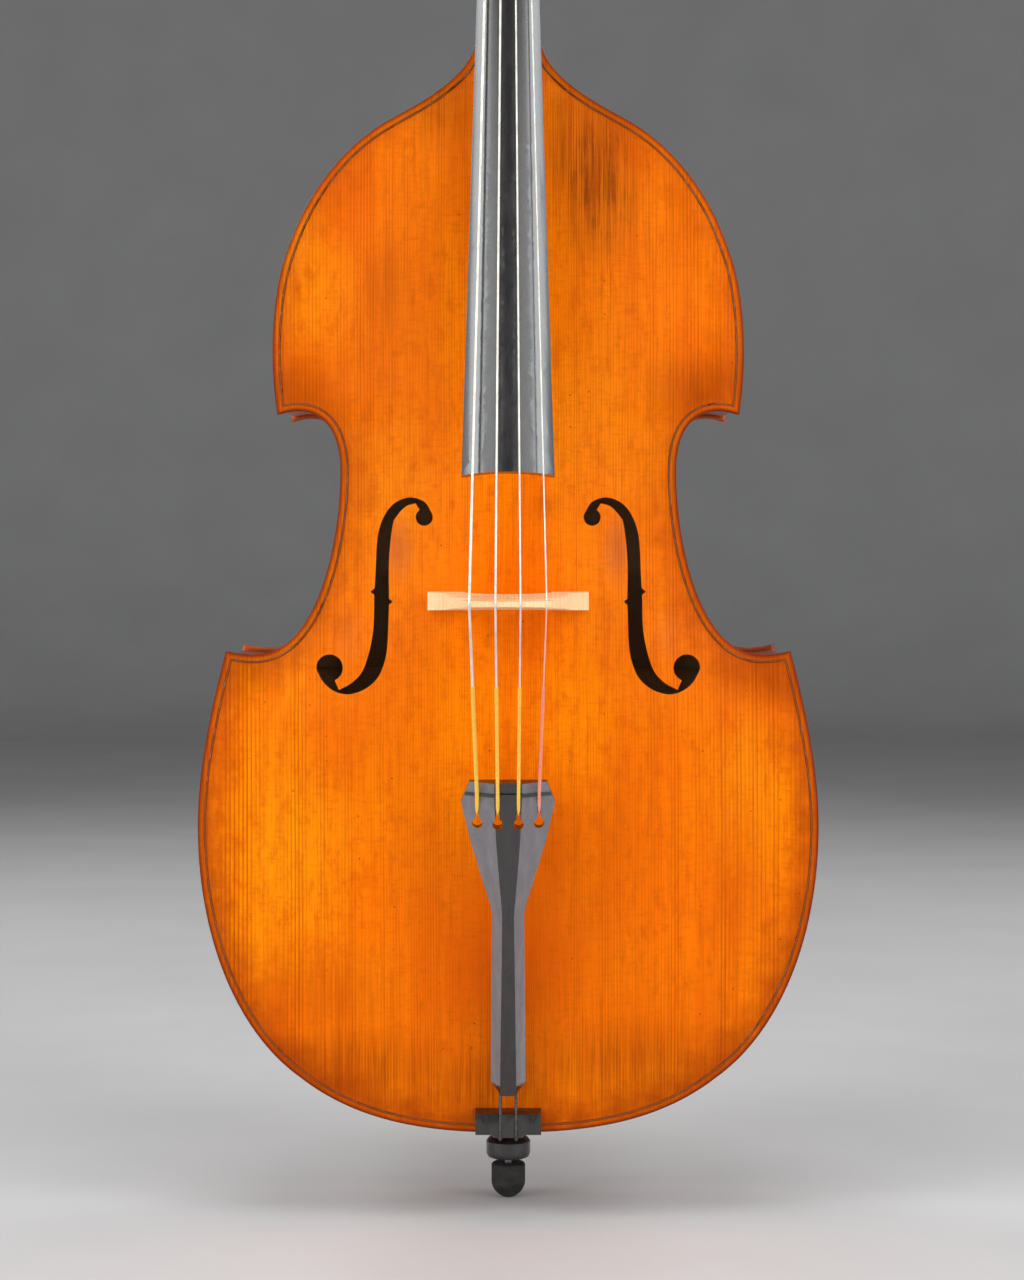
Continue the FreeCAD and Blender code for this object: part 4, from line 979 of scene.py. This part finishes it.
def spot_group():
    """An oval that fades out, with a broken edge."""
    w, given, result = shared("soft_spot", [
        PLACE_SOCKET, ("Centre", "NodeSocketVector", (0, 0, 0)),
        ("Size", "NodeSocketVector", (1, 1, 1)), ("Break", "NodeSocketFloat", 0.0)], ["Mask"])
    away = w.vector("DIVIDE", w.vector("SUBTRACT", given["Vector"], given["Centre"]), given["Size"])
    flat = w.vector("MULTIPLY", away, (1, 0, 1))
    far = w.sum("ADD", w.vector("LENGTH", flat), given["Break"])
    w.feed(result["Mask"], w.band(far, 1.25, 0.3))


def speck_group():
    """Sparse dark specks."""
    w, given, result = shared("specks", [
        PLACE_SOCKET, ("Scale", "NodeSocketFloat", 55.0),
        ("Size", "NodeSocketFloat", 0.1)], ["Mask"])
    cells = w.add("ShaderNodeTexVoronoi", {"Vector": given["Vector"], "Scale": given["Scale"]})
    few = w.sum("GREATER_THAN", w.parts(cells.outputs["Color"])[0], 0.72)
    dot = w.band(cells.outputs["Distance"], given["Size"], w.times(given["Size"], 0.4))
    w.feed(result["Mask"], w.times(dot, few))


def wear_group():
    """Strong at the plate's edge and gone further in than Reach."""
    w, given, result = shared("edge_wear", [
        PLACE_SOCKET, ("Gap", "NodeSocketFloat", 0.0),
        ("Reach", "NodeSocketFloat", 0.012), ("Ragged", "NodeSocketFloat", 0.01)], ["Mask"])
    rough = w.sum("SUBTRACT", w.noise(w.stretched(given["Vector"], (38, 38, 38)), 1.0, 5.0, 0.6), 0.5)
    gap = w.sum("ADD", given["Gap"], w.times(rough, given["Ragged"]))
    w.feed(result["Mask"], w.sum("SUBTRACT", 1.0, w.band(w.sum("DIVIDE", gap, given["Reach"]), 0.1, 1.0)))


def flame_group():
    """Curl of maple: soft bars across the piece, and its pores along it."""
    w, given, result = shared("maple_flame", [
        PLACE_SOCKET, ("Bars", "NodeSocketFloat", 60.0)], ["Flame", "Pores"])
    bend = w.vector("SCALE", w.vector("SUBTRACT", w.add(
        "ShaderNodeTexNoise", {"Vector": given["Vector"], "Scale": 5.0, "Detail": 2.0}).outputs["Color"],
        (0.5, 0.5, 0.5)), 0.05)
    moved = w.vector("ADD", given["Vector"], bend)
    bars = w.vector("SCALE", w.vector("MULTIPLY", moved, (0.1, 0.1, 1.0)), given["Bars"])
    wide = w.noise(bars, 1.0, 2.0)
    close = w.vector("MULTIPLY", moved, (0.35, 0.35, 2.1))
    short = w.noise(w.vector("SCALE", close, given["Bars"]), 1.0, 2.0)
    both = w.sum("ADD", w.times(wide, 0.65), w.times(short, 0.35))
    w.feed(result["Flame"], w.band(both, 0.4, 0.6))
    fine = w.noise(w.stretched(given["Vector"], (420, 420, 420)), 1.0, 2.0)
    w.feed(result["Pores"], w.band(fine, 0.6, 0.74))


def streak_group():
    """Long pores and faint brown streaks of dense dark wood."""
    w, given, result = shared("dark_streaks", [
        PLACE_SOCKET, ("Length", "NodeSocketFloat", 9.0)], ["Streak", "Pores"])
    along = w.add("ShaderNodeCombineXYZ", {"X": 160.0, "Y": 160.0, "Z": given["Length"]}).outputs[0]
    w.feed(result["Streak"], w.noise(w.vector("MULTIPLY", given["Vector"], along), 1.0, 4.0))
    finer = w.vector("MULTIPLY", w.vector("MULTIPLY", given["Vector"], along), (7, 7, 6))
    w.feed(result["Pores"], w.band(w.noise(finer, 1.0, 2.0), 0.58, 0.72))


def new_material(name, roughness=0.4, metal=0.0, specular=0.5, coat=0.0, coat_rough=0.1, ior=1.5):
    """A material, its wiring, its shader and the object coordinates."""
    material = bpy.data.materials.new(name)
    material.use_nodes = True
    shader = material.node_tree.nodes["Principled BSDF"]
    for label, value in (("Roughness", roughness), ("Metallic", metal), ("Specular IOR Level", specular),
                         ("Coat Weight", coat), ("Coat Roughness", coat_rough), ("IOR", ior)):
        shader.inputs[label].default_value = value
    w = Wiring(material.node_tree)
    place = w.add("ShaderNodeTexCoord").outputs["Object"]
    return material, w, shader, place


def bumped(w, shader, height, distance, strength=0.5):
    bump = w.add("ShaderNodeBump", {"Height": height, "Distance": distance, "Strength": strength})
    w.feed(shader.inputs["Normal"], bump.outputs["Normal"])


def spots_share(w, place, spots, broken):
    """The strongest of many soft spots at each point."""
    share = 0.0
    for x, z, wide, high, strength in spots:
        spot = w.use("soft_spot", {"Vector": place, "Centre": (x, 0, z), "Size": (wide, 1, high),
                                   "Break": broken})
        share = w.sum("MAXIMUM", share, w.times(spot["Mask"], strength))
    return share


def belly_varnish():
    material, w, shader, place = new_material("belly_varnish", 0.34, specular=0.045,
                                              coat=0.01, coat_rough=0.12)
    gap = w.add("ShaderNodeAttribute", attribute_name="edge_gap").outputs["Fac"]
    cloud = w.use("varnish_cloud", {"Vector": place})
    grain = w.use("grain_lines", {"Vector": place, "Spacing": 0.0023, "Wander": 0.010})
    mottle = w.sum("SUBTRACT", cloud["Mottle"], 0.5)
    broken = w.times(mottle, 1.5)
    base = w.mix(w.band(cloud["Cloud"], 0.38, 0.62), colour(249, 117, 0), colour(253, 131, 0))
    base = w.mix(w.times(w.band(cloud["Streak"], 0.42, 0.68), 0.7), base, colour(230, 99, 1))
    base = w.mix(spots_share(w, place, GOLD_SPOTS, broken), base, colour(255, 148, 2))
    base = w.mix(spots_share(w, place, RED_SPOTS, broken), base, colour(226, 92, 2))
    dark = spots_share(w, place, DARK_SPOTS, broken)
    fibre = w.sum("ADD", w.band(grain["Fibre"], 0.35, 0.65, 0.35, 1.1), w.times(grain["Lines"], 0.35))
    dark = w.times(dark, fibre)
    base = w.mix(dark, base, colour(112, 50, 2))
    # painted highlight: pinkish patches on the sound holes' wings, in place of reflected light
    base = w.mix(spots_share(w, place, PAINTED_HIGHLIGHT_SPOTS, broken), base, colour(205, 104, 40))
    x, _, z = w.parts(place)
    flank = w.band(w.sum("ABSOLUTE", x), 0.1, 0.3, 0.42, 0.9)
    base = w.mix(w.times(grain["Lines"], flank), base, colour(160, 56, 1))
    base = w.mix(w.band(grain["Fibre"], 0.48, 0.7, 0.0, 0.42), base, colour(196, 78, 1))
    base = w.mix(w.times(w.band(cloud["Cross"], 0.5, 0.75), 0.42), base, colour(200, 84, 2))
    base = w.mix(w.times(w.band(cloud["Mottle"], 0.49, 0.72), 0.52), base, colour(192, 75, 1))
    edge = w.use("edge_wear", {"Vector": place, "Gap": gap, "Reach": 0.044, "Ragged": 0.062})
    low_down = w.band(z, 0.20, 0.85, 0.74, 0.36)
    base = w.mix(w.times(edge["Mask"], low_down), base, colour(150, 52, 2))
    rim = w.band(gap, 0.0042, 0.0012)
    base = w.mix(w.times(rim, 0.85), base, colour(112, 32, 8))
    speck = w.use("specks", {"Vector": place, "Scale": 60.0, "Size": 0.075})
    base = w.mix(w.times(speck["Mask"], 0.75), base, colour(70, 24, 4))
    w.feed(shader.inputs["Base Color"], base)
    w.feed(shader.inputs["Roughness"], w.band(cloud["Mottle"], 0.3, 0.7, 0.30, 0.42))
    bumped(w, shader, w.sum("ADD", grain["Lines"], w.times(grain["Fibre"], 0.5)), 0.00012, 0.35)
    return material


def maple_varnish(name, turn, bars, light, dark, worn=None):
    """Varnished flamed maple; turn brings the piece's flame level."""
    material, w, shader, place = new_material(name, 0.3, specular=0.25, coat=0.25, coat_rough=0.14)
    level = w.add("ShaderNodeMapping", {"Vector": place, "Rotation": turn}).outputs["Vector"]
    flame = w.use("maple_flame", {"Vector": level, "Bars": bars})
    cloud = w.use("varnish_cloud", {"Vector": place, "Size": 1.1})
    base = w.mix(flame["Flame"], dark, light)
    base = w.mix(w.times(w.band(cloud["Cloud"], 0.4, 0.68), 0.5), base, colour(120, 44, 8))
    base = w.mix(w.times(w.band(cloud["Mottle"], 0.5, 0.75), 0.3), base, colour(110, 42, 8))
    base = w.mix(w.times(flame["Pores"], 0.35), base, colour(92, 34, 6))
    if worn:
        low, high, bare = worn
        z = w.parts(place)[2]
        broken = w.times(w.sum("SUBTRACT", cloud["Mottle"], 0.5), 0.03)
        z = w.sum("ADD", z, broken)
        mask = w.times(w.band(z, low, low + 0.04), w.band(z, high, high - 0.03))
        base = w.mix(w.times(mask, 0.9), base, w.mix(flame["Flame"], colour(196, 128, 66), bare))
    w.feed(shader.inputs["Base Color"], base)
    w.feed(shader.inputs["Roughness"], w.band(cloud["Mottle"], 0.3, 0.7, 0.22, 0.36))
    bumped(w, shader, flame["Pores"], 0.00008, 0.3)
    return material


def bare_wood(name, light, dark, spacing, line=0.5, flecks=0.0):
    """Unvarnished wood with its rings, and rays where flecks is above nought."""
    material, w, shader, place = new_material(name, 0.55, specular=0.3)
    grain = w.use("grain_lines", {"Vector": place, "Spacing": spacing, "Wander": 0.004})
    cloud = w.use("varnish_cloud", {"Vector": place, "Size": 1.6})
    base = w.mix(w.times(grain["Lines"], line), light, dark)
    base = w.mix(w.times(w.band(cloud["Cloud"], 0.4, 0.7), 0.35), base, dark)
    if flecks:
        rays = w.noise(w.stretched(place, (300, 900, 900)), 1.0, 2.0)
        base = w.mix(w.times(w.band(rays, 0.58, 0.68), flecks), base, dark)
    w.feed(shader.inputs["Base Color"], base)
    w.feed(shader.inputs["Roughness"], w.band(grain["Fibre"], 0.3, 0.7, 0.45, 0.62))
    bumped(w, shader, grain["Fibre"], 0.00008, 0.4)
    return material


def ebony(name, rough_low, rough_high, dark, light, coat):
    material, w, shader, place = new_material(name, 0.3, specular=0.7, coat=coat, coat_rough=0.2, ior=1.6)
    wood = w.use("dark_streaks", {"Vector": place, "Length": 9.0})
    base = w.mix(w.band(wood["Streak"], 0.42, 0.75), dark, light)
    base = w.mix(w.times(wood["Pores"], 0.35), base, colour(14, 12, 12))
    w.feed(shader.inputs["Base Color"], base)
    w.feed(shader.inputs["Roughness"], w.band(wood["Streak"], 0.3, 0.7, rough_low, rough_high))
    bumped(w, shader, wood["Pores"], 0.00001, 0.06)
    return material


def metal(name, bright, dull, roughness, scale, stretch=(1, 1, 1), share=1.0):
    """Metal with a worn film, brushed where the stretch is uneven."""
    material, w, shader, place = new_material(name, roughness, metal=share)
    tone = w.noise(w.stretched(place, stretch), scale, 4.0)
    base = w.mix(w.band(tone, 0.35, 0.7), bright, dull)
    w.feed(shader.inputs["Base Color"], base)
    w.feed(shader.inputs["Roughness"], w.band(tone, 0.3, 0.75, roughness * 0.8, roughness * 1.35))
    bumped(w, shader, tone, 0.00003, 0.2)
    return material


WINDINGS_A_METRE = 1600.0
SALMON_FROM = 0.020


def string_metal(name, silk_from=None, silk_tint=None):
    """Flat-wound steel: fine turns that show as a soft shimmer."""
    material, w, shader, place = new_material(name, 0.3, metal=0.45, specular=0.6)
    z = w.parts(place)[2]
    turns = w.sum("FRACT", w.times(z, WINDINGS_A_METRE))
    ridge = w.times(w.band(turns, 0.0, 0.3), w.band(turns, 1.0, 0.7))
    tone = w.noise(w.stretched(place, (1, 1, 60)), 1.0, 3.0)
    base = w.mix(w.band(tone, 0.35, 0.7), colour(242, 240, 228), colour(214, 210, 196))
    base = w.mix(w.times(w.sum("SUBTRACT", 1.0, ridge), 0.25), base, colour(150, 146, 136))
    if silk_from:
        base = w.mix(w.band(z, silk_from + 0.001, silk_from), base, silk_tint)
        w.feed(shader.inputs["Metallic"], w.band(z, silk_from, silk_from + 0.001, 0.0, 0.45))
    w.feed(shader.inputs["Base Color"], base)
    bumped(w, shader, ridge, 0.00008, 0.4)
    return material


def silk_thread():
    """Yellow on the three lower strings, salmon on the highest."""
    material, w, shader, place = new_material("silk", 0.62, specular=0.35)
    x = w.parts(place)[0]
    thread = w.noise(w.stretched(place, (900, 900, 2600)), 1.0, 2.0)
    yellow = w.mix(w.band(thread, 0.3, 0.7), colour(236, 172, 50), colour(255, 216, 100))
    salmon = w.mix(w.band(thread, 0.3, 0.7), colour(226, 120, 90), colour(255, 180, 150))
    base = w.mix(w.band(x, SALMON_FROM - 0.001, SALMON_FROM + 0.001), yellow, salmon)
    w.feed(shader.inputs["Base Color"], base)
    bumped(w, shader, thread, 0.0001, 0.5)
    return material


def inlay():
    """Dark, pale, dark across the strip's width."""
    material, w, shader, place = new_material("purfling", 0.36, specular=0.3, coat=0.12)
    gap = w.add("ShaderNodeAttribute", attribute_name="edge_gap").outputs["Fac"]
    part = w.sum("DIVIDE", w.sum("SUBTRACT", gap, PURFLING_INSET * MM), PURFLING_WIDE * MM)
    pale = w.times(w.band(part, 0.28, 0.38), w.band(part, 0.74, 0.64))
    tone = w.noise(w.stretched(place, (60, 60, 60)), 1.0, 3.0)
    dark = w.mix(w.band(tone, 0.35, 0.7), colour(104, 46, 6), colour(72, 30, 6))
    w.feed(shader.inputs["Base Color"], w.mix(w.times(pale, 0.7), dark, colour(170, 88, 10)))
    return material


def cut_edge():
    """Varnish over the sawn wall of a sound hole."""
    material, w, shader, place = new_material("cut_edge", 0.4, specular=0.4)
    tone = w.noise(w.stretched(place, (120, 300, 120)), 1.0, 3.0)
    base = w.mix(w.band(tone, 0.3, 0.7), colour(236, 138, 84), colour(150, 62, 20))
    w.feed(shader.inputs["Base Color"], base)
    return material


def rubber():
    material, w, shader, place = new_material("rubber", 0.6, specular=0.35)
    dust = w.noise(w.stretched(place, (60, 60, 120)), 1.0, 5.0)
    base = w.mix(w.band(dust, 0.4, 0.75), colour(30, 29, 29), colour(62, 59, 56))
    w.feed(shader.inputs["Base Color"], base)
    w.feed(shader.inputs["Roughness"], w.band(dust, 0.3, 0.7, 0.5, 0.75))
    bumped(w, shader, dust, 0.0001, 0.4)
    return material


# ================ stage, light and camera ================

def make_camera():
    """A little above the bridge's feet, 3.2 m in front of the origin."""
    data = bpy.data.cameras.new("camera")
    data.sensor_fit = "VERTICAL"
    data.sensor_height = 36
    data.lens = 84.65
    data.shift_y = -0.0797
    data.clip_end = 50
    camera = bpy.data.objects.new("camera", data)
    camera.location = (0.0039, -3.206, 0.7014)
    camera.rotation_euler = (math.radians(90), 0, 0)
    bpy.context.scene.collection.objects.link(camera)
    bpy.context.scene.camera = camera


def make_stage():
    """A round pale floor that turns up into a wall all round."""
    profile = [(0.0, 0.0), (1.5, 0.0), (3.0, 0.0), (5.0, 0.0), (7.6, 0.0)]
    profile += [(7.6 + 2.2 * math.sin(a), 2.2 - 2.2 * math.cos(a)) for a in
                [math.radians(7.5 * i) for i in range(1, 13)]]
    profile.append((9.8, 9.0))
    around = 96
    vertices = [(0, 0, 0)]
    for radius, height in profile[1:]:
        vertices += [(radius * math.cos(a), radius * math.sin(a), height) for a in
                     [2 * math.pi * i / around for i in range(around)]]
    faces = [(0, 1 + i, 1 + (i + 1) % around) for i in range(around)]
    for ring in range(len(profile) - 2):
        low, high = 1 + ring * around, 1 + (ring + 1) * around
        faces += [(low + i, high + i, high + (i + 1) % around, low + (i + 1) % around) for i in range(around)]
    floor = mesh_piece("studio_floor", vertices, faces)
    material, w, shader, place = new_material("studio_paper", 0.9, specular=0.1)
    tone = w.noise(w.stretched(place, (3, 3, 3)), 1.0, 3.0)
    w.feed(shader.inputs["Base Color"], w.mix(w.band(tone, 0.3, 0.7), (0.60, 0.595, 0.59, 1),
                                              (0.64, 0.635, 0.63, 1)))
    floor.data.materials.append(material)
    shade_by_angle(floor, 60)


def softbox(name, place, target, size, power, tint=(1, 1, 1)):
    data = bpy.data.lights.new(name, "AREA")
    data.shape = "RECTANGLE"
    data.size, data.size_y = size
    data.energy = power
    data.color = tint
    lamp = bpy.data.objects.new(name, data)
    lamp.location = place
    aim = Vector(target) - Vector(place)
    lamp.rotation_euler = aim.to_track_quat("-Z", "Y").to_euler()
    lamp.visible_camera = False
    bpy.context.scene.collection.objects.link(lamp)


def make_lights():
    """Tall boxes to both sides, weak fills beside the camera, and boxes above and behind."""
    for side, key, fill, rear in ((-1, 77, 27, 36), (1, 73, 25, 32)):
        softbox("side_box_%d" % (side + 1), (side * 2.45, -1.75, 1.85), (0, 0, 1.0), (1.5, 3.5), key,
                (0.95, 0.98, 1.0))
        softbox("front_fill_%d" % (side + 1), (side * 1.75, -3.7, 1.9), (0, 0, 0.9), (1.5, 3.2), fill)
        softbox("rear_box_%d" % (side + 1), (side * 2.3, 2.6, 2.7), (0, 0, 1.0), (1.2, 2.0), rear)
    softbox("top_box", (0, -0.6, 4.4), (0, 0, 0.8), (2.4, 1.8), 40)
    world = bpy.data.worlds.new("studio")
    world.use_nodes = True
    world.node_tree.nodes["Background"].inputs["Color"].default_value = (0.9, 0.93, 1.0, 1)
    world.node_tree.nodes["Background"].inputs["Strength"].default_value = 0.12
    bpy.context.scene.world = world
    bpy.context.scene.view_settings.view_transform = "Standard"


# ================ the whole object ================

def make_materials():
    for group in (grain_group, cloud_group, spot_group, speck_group, wear_group, flame_group, streak_group):
        group()
    made = {
        "belly_varnish": belly_varnish(),
        "back_varnish": maple_varnish("back_varnish", (0, 0.10, 0), 58.0, colour(196, 88, 12),
                                      colour(132, 48, 8)),
        "maple_varnish": maple_varnish("rib_varnish", (0, 0, 0), 74.0,
                                       colour(172, 70, 12), colour(112, 38, 8)),
        "neck_varnish": maple_varnish("neck_varnish", (0.2, 0, 0), 80.0, colour(196, 92, 22),
                                      colour(150, 60, 14), (1.40, 1.655, colour(222, 160, 94))),
        "plain_spruce": bare_wood("plain_spruce", colour(214, 178, 128), colour(176, 132, 84), 0.0022),
        "plain_maple": bare_wood("plain_maple", colour(255, 216, 164), colour(222, 160, 100),
                                 0.0035, 0.35, 0.5),
        "ebony": ebony("ebony", 0.24, 0.34, colour(10, 8, 9), colour(34, 27, 24), 0.2),
        "ebony_board": ebony("ebony_board", 0.25, 0.30, colour(20, 19, 21), colour(40, 34, 32), 1.0),
        # painted sheen: lighter grey ebony for the tailpiece's sloping facets, in place of light reflected
        # off them
        "ebony_rubbed": ebony("ebony_rubbed", 0.34, 0.48, colour(104, 99, 103), colour(122, 114, 117), 0.4),
        "string_steel": string_metal("string_steel"),
        "string_g": string_metal("string_steel_silk", BRIDGE_Z * MM - 0.006, colour(250, 172, 146)),
        "cable_steel": metal("cable_steel", colour(112, 108, 106), colour(62, 60, 58), 0.4, 1.0,
                             (400, 400, 400)),
        "silk": silk_thread(),
        "brass": metal("brass", colour(198, 170, 116), colour(146, 116, 70), 0.3, 34.0),
        "peg_steel": metal("peg_steel", colour(196, 196, 196), colour(130, 130, 132), 0.3, 60.0),
        "rod_steel": metal("rod_steel", colour(206, 208, 212), colour(146, 148, 152), 0.22, 1.0, (60, 60, 4)),
        "rubber": rubber(),
        "purfling": inlay(),
        "cut_edge": cut_edge(),
    }
    return made


def dress_plate(piece, wall, inside):
    """Finishes of the sound holes' walls and of the hidden face."""
    piece.data.materials.append(wall)
    piece.data.materials.append(inside)
    finish = np.empty(len(piece.data.polygons), int)
    piece.data.attributes["finish"].data.foreach_get("value", finish)
    piece.data.polygons.foreach_set("material_index", finish)
    piece.data.update()


def paint_facet_sheen(piece, sheen_material):
    """A lighter grey ebony on the two long facets that slope to the sides: painted sheen, standing in for
    light reflected off them.
    """
    piece.data.materials.append(sheen_material)
    for polygon in piece.data.polygons:
        if 0.12 < abs(polygon.normal.x) < 0.75 and polygon.normal.y < -0.5:
            polygon.material_index = 1


def build():
    made = make_materials()
    for node, piece in nodes.items():
        slot = next(s["material_slot"] for s in frame["record"]["subparts"] if s["node"] == node)
        piece.data.materials.clear()
        piece.data.materials.append(made[slot])
    nodes["string_g"].data.materials[0] = made["string_g"]
    belly, back, front_strip, back_strip = make_plates()
    stand_for(belly, "root", "belly_varnish", made["belly_varnish"], "belly")
    dress_plate(belly, made["cut_edge"], made["plain_spruce"])
    stand_for(back, "root", "maple_varnish", made["back_varnish"], "back")
    dress_plate(back, made["cut_edge"], made["plain_maple"])
    stand_for(front_strip, "root", "purfling", made["purfling"], "front_purfling")
    stand_for(back_strip, "root", "purfling", made["purfling"], "back_purfling")
    stand_for(make_neck(), "root", "maple_varnish", made["neck_varnish"], "neck")
    stand_for(make_pegbox(), "root", "maple_varnish", made["neck_varnish"], "pegbox_scroll")
    stand_for(make_scroll(), "root", "maple_varnish", made["neck_varnish"], "pegbox_scroll")
    for node, bevel in (("fingerboard", 0.9), ("nut", 0.5), ("tailpiece", 0.6), ("lower_saddle", 0.8),
                        ("tailpiece_fret", 0.2), ("bridge", 0.6), ("machine_plate_bass", 0.3),
                        ("machine_plate_treble", 0.3), ("endpin_collar", 0.5), ("rubber_tip", 0.5)):
        slot = next(s["material_slot"] for s in frame["record"]["subparts"] if s["node"] == node)
        body = "endpin_body" if node == "rubber_tip" else "root"
        stand_for(softened(node, node + "_finished", bevel * MM), body, slot, made[slot], node)
    scoop_saddle(bpy.data.objects["lower_saddle_finished"])
    # painted sheen on the tailpiece's two sloping facets
    paint_facet_sheen(bpy.data.objects["tailpiece_finished"], made["ebony_rubbed"])
    bpy.data.objects["fingerboard_finished"].data.materials[0] = made["ebony_board"]
    for name in "eadg":
        stand_for(softened("key_" + name, "key_%s_finished" % name, 0.7 * MM), name + "_key_body", "brass",
                  made["brass"], "key_" + name)
        stand_for(softened("gear_" + name, "gear_%s_finished" % name, 0.15 * MM, segments=1),
                  name + "_peg_body", "brass", made["brass"], "gear_" + name)
    silks, coils = make_windings(made["silk"], made["string_steel"])
    for piece in silks:
        stand_for(piece, "root", "silk", made["silk"])
    for piece in coils:
        stand_for(piece, "root", "string_steel", made["string_steel"])
    stand_for(make_screws(made["brass"]), "root", "brass", made["brass"], "machine_screws")


make_camera()
make_stage()
make_lights()
build()
